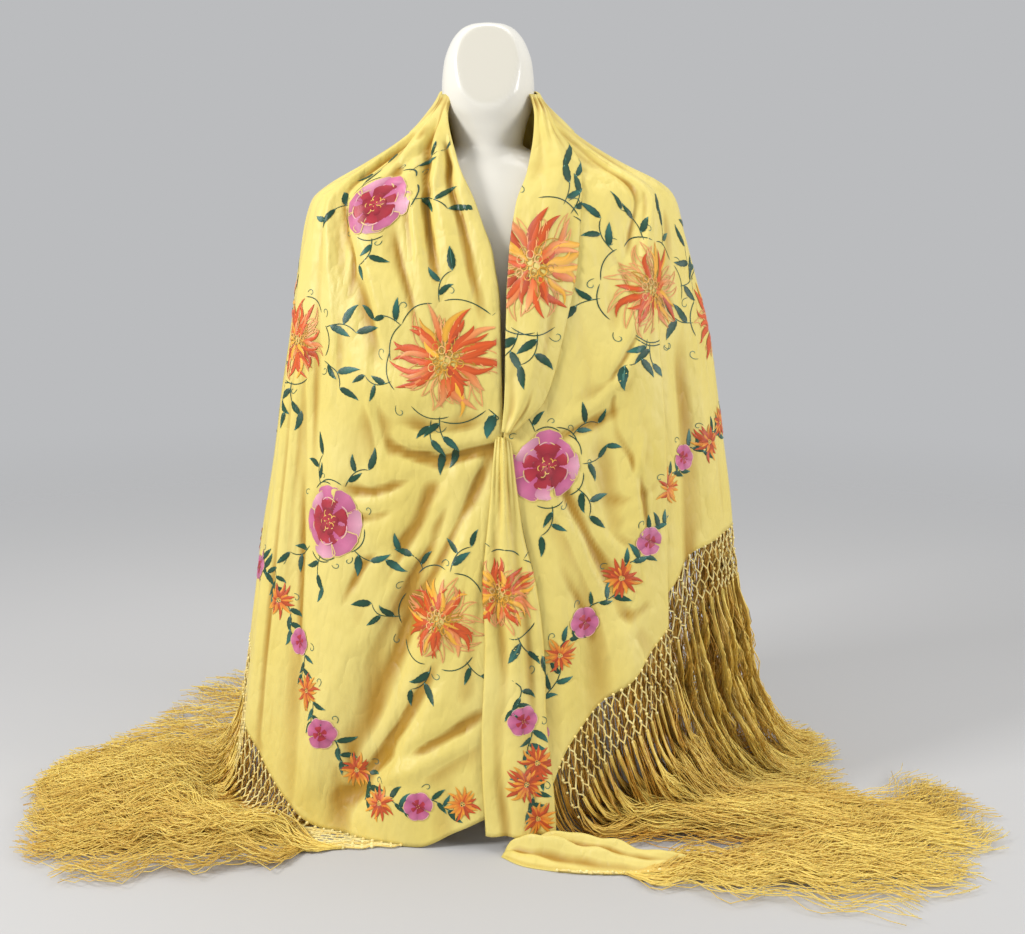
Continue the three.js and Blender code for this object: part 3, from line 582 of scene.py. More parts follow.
panels["neck_roll"] = Panel("cloth_neck_roll", 84, 12, neck_roll)

# %% The end of the long front, heaped on the floor
tip_sections = table(
    "v x y width height",
    (0, 26, -322, 30, 16), (0.2, 70, -338, 68, 36), (0.45, 142, -348, 84, 34), (0.75, 225, -356, 66, 20),
    (1, 300, -354, 36, 11),
)


def tip_plan(v, side):
    """A point of the heap in plan: v along it, and side to the right of that way."""
    before, here, after = (
        np.array([read(tip_sections, "v", name, at) for name in "xy"]) for at in (v - 0.02, v, v + 0.02)
    )
    run = (after - before) / np.hypot(*(after - before))
    return here[0] + run[1] * side, here[1] - run[0] * side


def heap(u, v):
    """Cloth heaped in slanting folds, which ends on the table on every side."""
    side = u - 0.5
    x, y = tip_plan(v, side * read(tip_sections, "v", "width", v))
    ridge = 0.7 + 0.3 * np.cos(2 * np.pi * (3.1 * side - 1.3 * v + 0.3)) * (1 - 0.4 * v)
    edge = np.where(side > 0, smooth((0.5 - side) / 0.55) ** 0.8, np.sqrt(np.minimum(1, (0.5 + side) * 4)))
    crush = 1 + 0.09 * np.sin(v * 21 + u * 4) + 0.07 * np.sin(v * 37 - u * 9)
    top = (wall + read(tip_sections, "v", "height", v) * ridge) * edge * crush
    ends = np.minimum(1, np.minimum(v, 1 - v) * 18) ** 0.5
    return np.stack([x, y, 1.0 + (top - 1.0) * (0.15 + 0.85 * ends) * edge], -1)


panels["floor_tip"] = Panel("cloth_floor_tip", 36, 64, heap)


# %% [markdown]
# ## One cloth
# The shawl is one square of silk, so the stretches become one piece. It is a thin sheet: silk crepe
# of this weight is under a millimetre thick, and its doubled folds make it look a little thicker.

# %% Join the stretches and give them their thickness
def joined(name, objects):
    """One object from several, whose meshes are then removed."""
    bm = bmesh.new()
    for part in objects:
        bm.from_mesh(part.data)
        bpy.data.objects.remove(part)
    mesh = mesh_of(name, bm)
    mesh.shade_smooth()
    return linked(name, mesh)


cloth_thickness = 1.4
cloth = joined("shawl_cloth", [panel.object for panel in panels.values()])
sheet = cloth.modifiers.new("thickness", "SOLIDIFY")
sheet.thickness, sheet.offset = cloth_thickness * MILLIMETRE, 0
print("cloth", len(cloth.data.polygons), "faces on its face side")


# %% [markdown]
# ## Threads
# Net cords and fringe strands are the same thing: a thin tube along a path, some thousands of times.
# One tube of some dozens of faces is made once, an Array modifier repeats it, and every copy is
# then carried to its own path. Each thread also keeps a tone of its own, for its colour.

# %% A thread, and many threads at once
def thread_mesh(segments):
    """An upright tube with three sides, one high, cut into segments."""
    bm = bmesh.new()
    bmesh.ops.create_cone(bm, segments=3, cap_ends=True, radius1=1, radius2=1, depth=1)
    upright = [e for e in bm.edges if abs(e.verts[0].co.z - e.verts[1].co.z) > 0.5]
    bmesh.ops.subdivide_edges(bm, edges=upright, cuts=segments - 1)
    return mesh_of("thread", bm)


def repeated(mesh, count):
    """A mesh with count copies of another, one after the other."""
    source = linked("repeated", mesh)
    array = source.modifiers.new("copies", "ARRAY")
    array.count, array.use_relative_offset, array.use_constant_offset = count, False, True
    array.constant_offset_displace = (0, 0, 0)
    graph = bpy.context.evaluated_depsgraph_get()
    made = bpy.data.meshes.new_from_object(source.evaluated_get(graph))
    bpy.data.objects.remove(source)
    return made


def place(name, mesh, points, **attributes):
    """An object whose vertices stand at points, with a value of each attribute for every vertex."""
    mesh.name = name
    mesh.vertices.foreach_set("co", (points * MILLIMETRE).ravel())
    for key, values in attributes.items():
        kind, field = ("FLOAT", "value") if values.ndim == 1 else ("FLOAT_COLOR", "color")
        mesh.attributes.new(key, kind, "POINT").data.foreach_set(field, values.ravel())
    mesh.update()
    mesh.shade_smooth()
    return linked(name, mesh)


nearly_up = [0.02, 0.03, 1.0]  # no thread runs exactly this way, so each has a side to it


def threads(name, paths, radius, tone):
    """Tubes along paths, an array of (threads, points, 3). radius has a value for every point."""
    count, segments = paths.shape[0], paths.shape[1] - 1
    template = thread_mesh(segments)
    shape = coordinates(template)
    ring = np.rint((shape[:, 2] + 0.5) * segments).astype(int)
    along = unit(np.gradient(paths, axis=1))
    side = unit(np.cross(along, nearly_up))
    up = np.cross(side, along)
    wide = np.broadcast_to(radius, paths.shape[:2])[:, ring, None]
    points = paths[:, ring] + wide * (side[:, ring] * shape[:, 0, None] + up[:, ring] * shape[:, 1, None])
    mesh = repeated(template, count)
    print(name, count, "threads,", (6 * segments + 2) * count, "triangles")
    return place(name, mesh, points.reshape(-1, 3), tone=np.repeat(tone, len(shape)))


# %% [markdown]
# ## The fall of a thread
# A thread of the fringe leaves the net, hangs as a chain does, meets the table and runs out over
# it. Twisted silk keeps the waves of its twisting, so the threads snake, in locks that share a wave.
# The left pile is tangled and the right one hangs straighter.

# %% The rows of net and fringe along the hem
# span is in azimuths along the hem. heading is the way a thread runs out over the table, in degrees
# from the right, and slack is how loosely it hangs. Each pair is for the row's two ends.
fringe_length, net_drop, floor_level = 540.0, 85.0, 3.4
outside_lift = 1.6  # how high the net lies on the face of the cloth
fringe_rows = [
    {"name": "left_front", "panel": "front_left", "span": (343.7, 310.6), "outside": True, "threads": 740,
     "heading": (187, 184), "turn": (-8, -12), "slack": (8, 10), "lift": (4, 34), "straight": (0.9, 0.76),
     "wave": (20, 13), "spread": 8},
    {"name": "left_side", "panel": "front_left", "span": (310.6, 272.0), "outside": False, "threads": 600,
     "heading": (183, 172), "turn": (-14, 8), "slack": (10, 34), "lift": (4, 34), "straight": (0.76, 0.8),
     "wave": (20, 13), "spread": 9},
    {"name": "back_left", "panel": "back", "span": (272.0, 184.8), "outside": False, "threads": 380,
     "heading": (176, 94), "turn": (4, 8), "slack": (34, 20), "lift": (2, 20), "straight": (0.72, 0.86),
     "wave": (16, 9), "spread": 5, "bends": 14},
    {"name": "back_right", "panel": "back", "span": (184.8, 105.5), "outside": False, "threads": 380,
     "heading": (94, 46), "turn": (-4, -8), "slack": (34, 80), "lift": (2, 20), "straight": (0.88, 0.94),
     "wave": (16, 9), "spread": 5, "bends": 14},
    {"name": "right_side", "panel": "back", "span": (105.5, 42.1), "outside": False, "threads": 560,
     "heading": (44, 20), "turn": (-6, 2), "slack": (90, 56), "lift": (3, 24), "straight": (0.94, 0.98),
     "wave": (12, 8), "spread": 8},
    {"name": "right_front", "panel": "front_right", "span": (43.0, 16.0), "outside": False, "threads": 760,
     "heading": (14, 3), "turn": (4, 4), "slack": (62, 34), "lift": (10, 40), "straight": (0.98, 0.98),
     "wave": (14, 8), "spread": 8},
    {"name": "floor_tip", "panel": None, "outside": True, "threads": 620,
     "heading": (-5, 28), "turn": (0, 8), "slack": (8, 8), "lift": (1, 14), "straight": (0.95, 0.95),
     "wave": (15, 11), "spread": 6},
]


def hem_roots(row, t):
    """Where the net begins, at a share t of the row."""
    if row["panel"] is None:
        v = mix(0.3, 1, np.minimum(1, t / 0.8))
        end = smooth((t - 0.8) / 0.2)
        side = mix(0.5, -0.4, end) * read(tip_sections, "v", "width", v) + mix(1, 0, end) * 2
        x, y = tip_plan(v, side)
        return np.stack([x + 2 * end, y, 4 + 2 * np.sin(13 * t) ** 2], -1)
    panel = hanging[row["panel"]]
    azimuth = mix(*row["span"], t)
    hem = read(panel["hem"], "azimuth", "z", azimuth)
    start, end = panel["from"](0.0), panel["to"](0.0)
    u = (azimuth - start) / (end - start)
    turns = turned if row["panel"] != "back" else 0
    lift = outside_lift if row["outside"] else -row.get("inset", 0)
    root = panels[row["panel"]].at(u * (1 - turns), 0 * u, lift)
    root[..., 2] = np.maximum(hem - 0.5, floor_level)
    return root


def fall(row, t, s, lift=0.0, wave=0.0, aside=0.0):
    """Places at s along threads rooted at t. wave moves them sideways, and aside turns their way."""
    root = hem_roots(row, t)
    heading, turn, slack, straight = (mix(*row[name], t) for name in ("heading", "turn", "slack", "straight"))
    drop = np.maximum(0, root[..., 2] - floor_level)
    hang = np.sqrt(drop**2 + 2 * slack * drop)
    reach = slack * np.arcsinh(hang / slack)
    left = np.maximum(0, hang - s)
    travel = np.where(hang > s, reach - slack * np.arcsinh(left / slack), reach + s - hang)
    height = np.hypot(slack, left) - slack
    angle = np.radians(heading + aside + turn * travel / fringe_length)
    beyond = travel * np.where(s > net_drop, mix(1, straight, smooth((s - net_drop) / 300)), 1)
    rising = smooth((s - net_drop) / 160) * smooth(1.4 - height / 120)
    falling = 1 - 0.6 * smooth((s / fringe_length - 0.5) / 0.5)
    x = root[..., 0] + beyond * np.cos(angle) - wave * np.sin(angle)
    y = root[..., 1] + beyond * np.sin(angle) + wave * np.cos(angle)
    return np.stack([x, y, root[..., 2] - drop + height + lift * rising * falling], -1)


# %% The net: two families of cords that swing between knots, and the knots
net_pitch, net_rows, net_radius = 15.0, 4, 1.45


def hem_length(row):
    """The length of a row along the hem, in millimetres."""
    path = hem_roots(row, np.linspace(0, 1, 60))
    return np.linalg.norm(np.diff(path, axis=0), axis=1).sum()


nets, net_knots, ends_of_net = [], [], {}
for row in fringe_rows:
    count = int(round(hem_length(row) / net_pitch))
    s = np.linspace(0, net_drop, 17)[None, :]
    swing = 0.5 * smooth(1.6 * np.abs((s / net_drop * net_rows + 1) % 2 - 1) - 0.3)
    even = (np.arange(count) + 0.5)[:, None]
    share = np.concatenate([even + swing, even - swing]) / count
    sag = 2.5 * np.sin(share * count * 2.1 + s / 9) * np.sin(np.pi * s / net_drop)
    paths = fall(row, np.clip(share, 0, 1), s + 0 * share, wave=sag)
    tone = chance.uniform(0.2, 1, len(paths))
    nets.append(threads("net_" + row["name"], paths, net_radius, tone))
    level, place_in_level = np.divmod(np.arange((net_rows + 1) * (count + 1)), count + 1)
    knot_share = place_in_level + 0.5 * (level % 2 == 0)  # every second level is half a mesh along
    net_knots.append(fall(row, np.clip(knot_share / count, 0, 1), level * net_drop / net_rows))
    ends_of_net[row["name"]] = count
at = np.concatenate(net_knots)
bm = bmesh.new()
bmesh.ops.create_icosphere(bm, subdivisions=1, radius=1)
ball = mesh_of("knot", bm)
shape = coordinates(ball)
size = chance.uniform(2.2, 3.1, (len(at), 1, 1))
knots = place("net_knots", repeated(ball, len(at)), (at[:, None] + shape * size).reshape(-1, 3),
              tone=np.repeat(chance.uniform(0.3, 1, len(at)), len(shape)))
nets.append(knots)
print("net knots", len(at))

# %% The loose fringe, in locks tied at the net's last knots
full_bends = 20  # pieces of a strand, fewer where no one looks closely
strand_radius, lying_height = 0.85, 2.2
lock_wave, own_wave = (130, 210), (55, 120)  # the shortest and longest waves of a lock and a strand


def strands(row):
    """The loose strands of a row: each shares its lock's wave and has one of its own."""
    count, locks = row["threads"], ends_of_net[row["name"]]
    lock = np.arange(count) % locks
    root = ((lock + 0.5) / locks)[:, None]
    share = np.linspace(0, 1, row.get("bends", full_bends) + 1)[None, :]
    length = fringe_length * chance.uniform(0.93, 1.0, (count, 1))
    top = row.get("top", net_drop - 1)
    s = top + (length - top) * share**1.1
    loose = smooth(share / 0.25)
    big, small = row["wave"]

    def waves(seed_count, amplitude, low, high, pick):
        long = chance.uniform(low, high, seed_count)[pick][:, None]
        phase = chance.uniform(0, 2 * np.pi, seed_count)[pick][:, None]
        height = amplitude * chance.uniform(0.5, 1.2, seed_count)[pick][:, None]
        return height * (np.sin(2 * np.pi * s / long + phase) - np.sin(phase + 2 * np.pi * net_drop / long))

    own = np.arange(count)
    side = waves(locks, big, *lock_wave, lock) * loose + waves(count, small, *own_wave, own) * loose
    end_curl = chance.uniform(-22, 22, (count, 1)) * smooth((share - 0.6) / 0.4) ** 2
    aside = row["spread"] * np.clip(chance.normal(0, 1, (locks, 1)), -1.4, 1.4)[lock]
    aside = aside + 4 * np.clip(chance.normal(0, 1, (count, 1)), -1.6, 1.6)
    lift = mix(*row["lift"], chance.uniform(0, 1, (count, 1)) ** 1.5)
    lift = lift + 5 * loose * (1 + np.sin(s / chance.uniform(14, 30, (count, 1)) + lock[:, None]))
    paths = fall(row, np.clip(root, 0, 1), s, lift, side + end_curl, aside * loose)
    paths += chance.normal(0, 0.9, (count, 1, 3)) * (1 - 0.6 * loose[..., None])
    paths[..., 2] = np.maximum(paths[..., 2], lying_height)
    radius = strand_radius * (1 - 0.3 * share)
    tone = np.clip(chance.normal(0.5, 0.22, locks)[lock] + chance.normal(0, 0.16, count), 0, 1)
    # the second layer, hanging behind, is painted darker as shade
    tone = 0.4 * tone if "top" in row else mix(0.35, 1, tone)
    return threads("fringe_threads_" + row["name"], paths, radius, tone)


fringes = [strands(row) for row in fringe_rows]

# %% The second layer of fringe
# The folded square has two edges, so more strands hang behind the first ones where these show, painted darker
# as shade.
# They begin just under the hem, further in, and have no net of their own.
behind = {"top": 6, "inset": 9}
under_rows = [
    dict(fringe_rows[5], name="right_front_under", threads=340, slack=(34, 20), lift=(2, 14),
         span=(43.5, 13), heading=(24, 2), **behind),
    dict(fringe_rows[4], name="right_side_under", threads=220, slack=(16, 16), lift=(2, 14),
         heading=(46, 22), **behind),
    dict(fringe_rows[1], name="left_side_under", threads=150, slack=(6, 22), lift=(2, 12),
         span=(322, 282), **behind),
]
under_locks = 70
for row in under_rows:
    ends_of_net[row["name"]] = under_locks
under_fringes = [strands(row) for row in under_rows]


# %% [markdown]
# ## The embroidery
# The flowers are worked in floss silk: satin stitch for the petals and leaves, stem stitch for the
# lines. Every petal, leaf and line is one ribbon with a low crown, laid along a path on the cloth.
# One ribbon is made once and repeated, like the threads. The flowers stand where the photograph
# has them, and the sides and back carry more of the same kinds.

# %% Ribbons, in millimetres about the middle of a flower
ribbon_steps = 10
steps = np.linspace(0, 1, ribbon_steps + 1)
work = {}  # stretch of cloth: its ribbons

floss = {
    name: np.array(colour(value)) for name, value in {
        "red": "d6581f", "peach": "eda766", "gold": "f0b038", "ochre": "c08a24", "straw": "e6c878",
        "pink": "cf769a", "rose": "b5497a", "blush": "e4a9ba", "crimson": "8a1a2a", "cherry": "b83240",
        "green": "163f2b", "fir": "1d5038", "sea": "37766a", "mint": "6fa48e", "rust": "a8401c",
    }.items()
}


def ribbon(spot, path, wide, start, end, crown=0.5, layer=0):
    """Adds one ribbon: a path of points, half its width at each, and colours from start to end."""
    shift = 1 + chance.normal(0, 0.06)
    tones = floss[start] * shift, floss[end] * shift
    stitched = (spot["at"], path, wide * np.ones(len(steps)), *tones, crown, layer)
    work.setdefault(spot["on"], []).append(stitched)


def ray(start, end, angle, bend=0.0, sway=0.0):
    """A path from one distance to another along an angle, bending and swaying as it goes."""
    far = mix(start, end, steps)
    turn = angle + bend * steps**2 + sway * np.sin(2 * np.pi * steps) * (1 - 0.4 * steps)
    return np.stack([far * np.cos(turn), far * np.sin(turn)], -1)


def bow(radius, middle, half, bulge=0.0):
    """A path along a circle about the middle, out by a bulge half way."""
    turn = middle + half * (2 * steps - 1)
    far = radius * (1 + bulge * np.sin(np.pi * steps))
    return np.stack([far * np.cos(turn), far * np.sin(turn)], -1)


def loop(x, y, radius):
    """A small ring, a little higher than it is wide."""
    turn = 2 * np.pi * steps
    return np.stack([x + radius * np.cos(turn), y + 1.2 * radius * np.sin(turn)], -1)


# shares of the full half width along a ribbon, for each kind of stitch
blade = np.sin(np.pi * steps**0.7) ** 0.8
rounded_end = np.sqrt(1 - np.clip((steps - 0.7) / 0.3, 0, 1) ** 2)
scallop = np.where(steps < 0.7, 0.25 + 0.75 * steps / 0.7, rounded_end)
line = np.minimum(1, np.minimum(steps, 1 - steps) * 9 + 0.25)
leaf_shape = np.sin(np.pi * steps**0.75) ** 0.9 * (1 + 0.06 * np.cos(steps * 10 * np.pi))


def outlined(spot, path, wide, tone, layer):
    """Only the outline of a petal, in stem stitch."""
    along = np.gradient(path, axis=0)
    side = unit(np.stack([along[:, 1], -along[:, 0]], -1))
    for sign in (-1, 1):
        ribbon(spot, path + side * (sign * wide)[:, None], 0.75 * line, tone, tone, 0.35, layer)


# %% Flowers and leaves
def leaf(spot, x, y, angle, length):
    """A slim leaf in two greens, with a pale midrib."""
    path = ray(0, length, angle, chance.uniform(-0.25, 0.25)) + [x, y]
    tip = "sea" if chance.random() < 0.3 else "fir"
    ribbon(spot, path, length * 0.155 * leaf_shape, "green", tip, 0.5, 1)
    ribbon(spot, path, 0.9 * line, "mint", "sea", 0.3, 3)


def sprig(spot, angle, distance, length, count):
    """Leaves along a short curved stem, out from a flower."""
    angle = angle + chance.normal(0, 0.25)
    root = np.array([np.cos(angle), np.sin(angle)]) * distance
    stem = ray(0, length * 1.5, angle, chance.choice([-0.5, 0.5])) + root
    ribbon(spot, stem, 0.7 * line, "fir", "green", 0.3, 0)
    for i in range(count):
        share = mix(0.2, 1.0, i / (count - 1))
        foot = stem[int(round(share * ribbon_steps))]
        lean = 0 if i == count - 1 else (1 if i % 2 else -1) * chance.uniform(0.6, 1.0)
        leaf(spot, *foot, angle + lean, length * chance.uniform(0.8, 1.15))


def curl(spot, angle, distance, size):
    """A tendril that leaves the stem and winds up."""
    turn = angle + chance.choice([-1, 1]) * (0.5 + 4.5 * steps**2)
    run = size * 0.33 * np.stack([np.cos(turn), np.sin(turn)], -1)
    path = np.cumsum(run, axis=0) + distance * np.array([np.cos(angle), np.sin(angle)])
    ribbon(spot, path, 0.5 * line, "fir", "sea", 0.3, 0)


def surround(spot, radius, angles):
    """The stem that rings a flower, with groups of leaves at the given angles."""
    for angle in angles:
        angle = np.radians(angle)
        far = radius * chance.uniform(1.04, 1.14)
        stem = bow(far, angle + chance.uniform(-0.2, 0.3), 0.34, 0.06)
        ribbon(spot, stem, 0.8 * line, "fir", "green", 0.3, 0)
        sprig(spot, angle, far, radius * 0.12 + 25, 3)
        curl(spot, angle + 0.55, radius * 1.2, radius * 0.12)


def seeds(spot, count, spread, first, size, wide, tones, layer):
    """Small rings of stitches in the middle of a flower, each a golden angle on from the last."""
    for i in range(count):
        angle, far = 2.4 * i, spread * np.sqrt(i + first)
        path = loop(far * np.cos(angle), far * np.sin(angle), size)
        ribbon(spot, path, wide, *tones[i % len(tones)], 0.4, layer)


def chrysanthemum(spot, radius, angles, pale=0.0):
    """Three rings of slim petals, some worked full and some only in outline, more of these if pale."""
    surround(spot, radius, angles)
    tones = [("red", "red"), ("gold", "gold"), ("red", "peach"), ("rust", "red")]
    rings = [(28, 0.3, 1.0, 0.068), (24, 0.2, 0.82, 0.064), (17, 0.1, 0.56, 0.056)]
    for ring, (count, inner, outer, wide) in enumerate(rings):
        for i in range(count):
            angle = 2 * np.pi * (i + 0.5 * ring) / count + chance.normal(0, 0.09)
            path = ray(inner * radius, outer * radius * chance.uniform(0.82, 1.1), angle,
                       chance.uniform(-0.42, 0.42), chance.uniform(-0.09, 0.09))
            width = wide * radius * chance.uniform(0.75, 1.15) * blade
            if chance.random() < (0.26, 0.38, 0.55)[ring] + 0.25 * pale:
                outlined(spot, path, width, ("peach", "peach", "ochre")[ring], 3 + ring)
            else:
                pick = tones[chance.choice(4, p=[0.46, 0.22, 0.2, 0.12])]
                ribbon(spot, path, width, *pick, 0.7, 3 + 1.2 * ring)
    seed_tones = [("peach", "straw"), ("ochre", "gold"), ("ochre", "gold")]
    seeds(spot, 15, radius * 0.075, 0.3, radius * 0.06, 0.8, seed_tones, 8)


def rose(spot, radius, angles):
    """Eight broad petals with an outline, and a crimson cup with a golden middle."""
    surround(spot, radius, angles)
    for i in range(8):
        angle = 2 * np.pi * i / 8 + chance.normal(0, 0.06)
        far = radius * chance.uniform(0.86, 1.12)
        tones = ("rose", "blush") if i % 3 == 0 else ("rose", "pink")
        petal = 0.42 * radius * scallop * chance.uniform(0.85, 1.1)
        ribbon(spot, ray(0.3 * radius, far, angle), petal, *tones, 1.1, 3 + 1.5 * (i % 2))
        outlined(spot, ray(0.3 * radius, far, angle), petal, "straw", 3.6 + 1.5 * (i % 2))
    for i in range(6):
        angle = 2 * np.pi * (i + 0.5) / 6
        path = ray(0.1 * radius, 0.64 * radius, angle)
        ribbon(spot, path, 0.44 * radius * scallop, "crimson", "cherry", 0.9, 7 + i % 2)
        ribbon(spot, bow(0.61 * radius, angle, 0.42, 0.1), 0.9 * line, "straw", "blush", 0.4, 9.5)
    for i in range(5):
        path = ray(0.02 * radius, 0.4 * radius, 2 * np.pi * i / 5 + 0.3)
        ribbon(spot, path, 0.2 * radius * scallop, "cherry", "crimson", 0.8, 10 + i % 2)
    seeds(spot, 9, radius * 0.09, 0.2, radius * 0.07, 0.75, [("gold", "straw")], 13)


def small_orange(spot, radius):
    """The border's small chrysanthemum."""
    for ring, (count, outer) in enumerate([(17, 1.0), (12, 0.62)]):
        for i in range(count):
            angle = 2 * np.pi * (i + 0.4 * ring) / count + chance.normal(0, 0.1)
            far = outer * radius * chance.uniform(0.8, 1.1)
            path = ray(0.12 * radius, far, angle, chance.uniform(-0.3, 0.3))
            start, end = ("red", "gold") if chance.random() < 0.5 else ("rust", "red")
            ribbon(spot, path, 0.105 * radius * blade, start, end, 0.6, 3 + ring)
    for i in range(3):
        ribbon(spot, loop(2.2 * np.cos(2 * i), 2.2 * np.sin(2 * i), 1.6), 0.6, "gold", "straw", 0.3, 5)


def small_rose(spot, radius):
    """The border's small rose."""
    for i in range(6):
        angle = 2 * np.pi * i / 6 + chance.normal(0, 0.08)
        path = ray(0.15 * radius, radius, angle)
        ribbon(spot, path, 0.47 * radius * scallop, "rose", "pink", 0.8, 3 + i % 2)
        ribbon(spot, bow(0.93 * radius, angle, 0.45, 0.08), 0.6 * line, "straw", "blush", 0.3, 5)
    for i in range(4):
        path = ray(0, 0.5 * radius, 1.57 * i + 0.4)
        ribbon(spot, path, 0.3 * radius * scallop, "crimson", "cherry", 0.6, 6)
    ribbon(spot, loop(0, 0, 2.0), 0.6, "gold", "straw", 0.3, 8)


# %% Where the big flowers are
# A row has the stretch of cloth, the azimuth there (on a band the distance from the middle), the
# height, the radius, the angles of the leaves and, for a chrysanthemum, how pale it is.
big_flowers = [
    (chrysanthemum, "front_left", 351.2, 707, 82, (-80, -20, 60, 105, 150, 190, 240), 0.0),
    (chrysanthemum, "front_left", 349.3, 331, 66, (-60, 10, 60, 110, 170, 230), 0.2),
    (chrysanthemum, "front_left", 294.6, 723, 60, (-70, 0, 50, 130, 250), 0.1),
    (rose, "front_left", 327.1, 926, 50, (-100, 20, 80, 150, 205)),
    (rose, "front_left", 318.3, 463, 53, (-80, -20, 80, 110, 250)),
    (chrysanthemum, "lapel", 66, 842, 84, (-80, 30, 75, 250), 0.1),
    (chrysanthemum, "right", 45.6, 803, 70, (-100, 0, 60, 90, 135, 190, 250), 0.9),
    (rose, "right", 12.4, 553, 52, (-90, -35, 20, 60, 100)),
    (chrysanthemum, "centre_fold", 20, 372, 56, (-60, 20, 70), 0.3),
    (chrysanthemum, "right", 96, 742, 78, (-80, -10, 60, 120, 180), 0.1),
    (rose, "right", 122, 880, 54, (-90, 0, 80, 170)),
    (chrysanthemum, "right", 140, 640, 82, (-80, -10, 50, 120, 200), 0.1),
    (rose, "right", 165, 470, 56, (-90, -10, 80, 160)),
    (chrysanthemum, "right", 168, 832, 80, (-70, 0, 60, 110, 170, 230), 0.3),
    (chrysanthemum, "right", 196, 610, 84, (-80, -10, 50, 120, 200, 240), 0.0),
    (rose, "right", 212, 872, 54, (-90, -10, 80, 160)),
    (chrysanthemum, "right", 208, 372, 74, (-60, 0, 60, 120, 190), 0.2),
    (rose, "right", 238, 560, 55, (-90, 10, 80, 170)),
    (chrysanthemum, "right", 246, 772, 78, (-70, 0, 60, 120, 180, 240), 0.1),
]
for flower, stretch, across, up, radius, angles, *pale in big_flowers:
    flower({"on": stretch, "at": (across, up)}, radius, angles, *pale)
print("big flowers", len(big_flowers))

# %% The border: small flowers joined by a vine, all along the hem
# A station has an azimuth (or distance), a height and a kind, or no flower where two vines meet.
left_border = [
    (296, 372, None), (301, 327, "orange"), (310.9, 272, "rose"), (316.1, 205, "orange"),
    (321.8, 148, "rose"), (330, 93, "orange"), (337.4, 58, "orange"), (346, 62, "rose"),
    (355, 66, "orange"),
]
right_border = [
    (10, 168, "rose"), (15.9, 278, "orange"), (21.9, 322, "rose"), (30.9, 385, "orange"),
    (38.4, 436, "rose"), (43, 470, None),
]
side_border = [(46.5, 508, "orange"), (55.6, 548, "rose"), (68, 566, "orange"), (80, 588, "orange")]
around = np.arange(91, 268, 10.5)
zigzag = read(back_hem, "azimuth", "z", around) + 140 + 20 * np.cos(np.arange(len(around)) * np.pi)
kinds = ["rose" if i % 2 else "orange" for i in range(len(around))]
side_border += list(zip(around, zigzag, kinds))
strip_border = [
    (34, 250, None), (52, 190, "rose"), (74, 127, "orange"), (56, 98, "orange"), (72, 46, "orange"),
]
left_seam_border = [(271, 345, "rose"), (279, 356, "orange"), (288, 372, "rose"), (296, 372, None)]


def degree_length(stretch, across, up):
    """Millimetres for a degree round the cloth and for a millimetre of height along its slope."""
    if stretch in bands:
        return 1.0, 1.0
    round_it = cloth_point(across + 1.0, up) - cloth_point(across - 1.0, up)
    slope = cloth_point(across, up + 5.0) - cloth_point(across, up - 5.0)
    return np.linalg.norm(round_it) / 2, np.linalg.norm(slope) / 10


def vine(stretch, stations):
    """A flower at each station, and to the next one a swinging stem with leaves and a tendril."""
    for (across, up, kind), ahead in zip(stations, stations[1:] + [None]):
        spot = {"on": stretch, "at": (across, up)}
        size = chance.uniform(0.92, 1.08)
        if kind == "orange":
            small_orange(spot, 29 * size)
        if kind == "rose":
            small_rose(spot, 22 * size)
        if ahead is None:
            continue
        wide, tall = degree_length(stretch, across, up)
        run = np.array([(ahead[0] - across) * wide, (ahead[1] - up) * tall])
        length = np.linalg.norm(run)
        normal = np.array([-run[1], run[0]]) / length

        def along(share):
            return run * share + normal * 9 * np.sin(2 * np.pi * share)

        ribbon(spot, along(steps[:, None]), 0.75 * line, "fir", "green", 0.3, 0)
        heading = np.arctan2(run[1], run[0])
        for share, side in ((0.3, 1), (0.42, -1), (0.55, 1), (0.66, -1), (0.78, 1)):
            leaf(spot, *along(share), heading + side * chance.uniform(0.6, 1.1), chance.uniform(20, 30))
        curl(spot, heading + 1.4, 26, 7)


vine("front_left", left_border)
vine("front_left", left_seam_border)
vine("right", right_border)
vine("right", side_border)
vine("centre_fold", strip_border)
print("ribbons", sum(len(ribbons) for ribbons in work.values()))


# %% Lay the ribbons on the cloth
def on_hanging(name, azimuth, z, lift):
    """Places over a hanging panel."""
    panel = hanging[name]
    z = np.minimum(z, collar_top)
    start, end = panel["from"](z), panel["to"](z)
    u = np.clip((azimuth - start) / (end - start), 0, 1)
    hem = read(panel["hem"], "azimuth", "z", mix(panel["from"](0.0), panel["to"](0.0), u))
    turns = 0 if name == "back" else turned
    return panels[name].at(u * (1 - turns), (z - hem) / (collar_top - hem), lift)


def on_band(name, x, z, lift):
    """Places over the lapel or the folds below the pin."""
    shape = bands[name][0]
    inner, outer = read(shape, "z", "inner", z), read(shape, "z", "outer", z)
    v = (z - shape["z"][-1]) / (shape["z"][0] - shape["z"][-1])
    return panels[name].at((x - inner) / (outer - inner), v, lift)


pleat_from = 735  # above this height, ribbons may cross from the right front to the back


def on_stretch(name, across, up, lift):
    """Places over any stretch that is embroidered."""
    if name in bands:
        return on_band(name, across, up, lift)
    if name != "right":
        return on_hanging(name, across, up, lift)
    # The right front and the back are one cloth above the pleat, and two layers below it.
    middle = across.reshape(len(across), -1).mean(1)[:, None, None] + 0 * across
    low = up.reshape(len(up), -1).min(1)[:, None, None] + 0 * up
    in_front = np.where(low > pleat_from, across, middle) < pleat(up)
    places = [on_hanging(panel, across, up, lift) for panel in ("front_right", "back")]
    return np.where(in_front[..., None], *places)


floss_height, layer_height = 1.15, 0.13  # of the lowest stitches over the cloth, and of each layer
shading = np.array([0.82, 1.08, 0.82])  # across a ribbon, from edge to edge


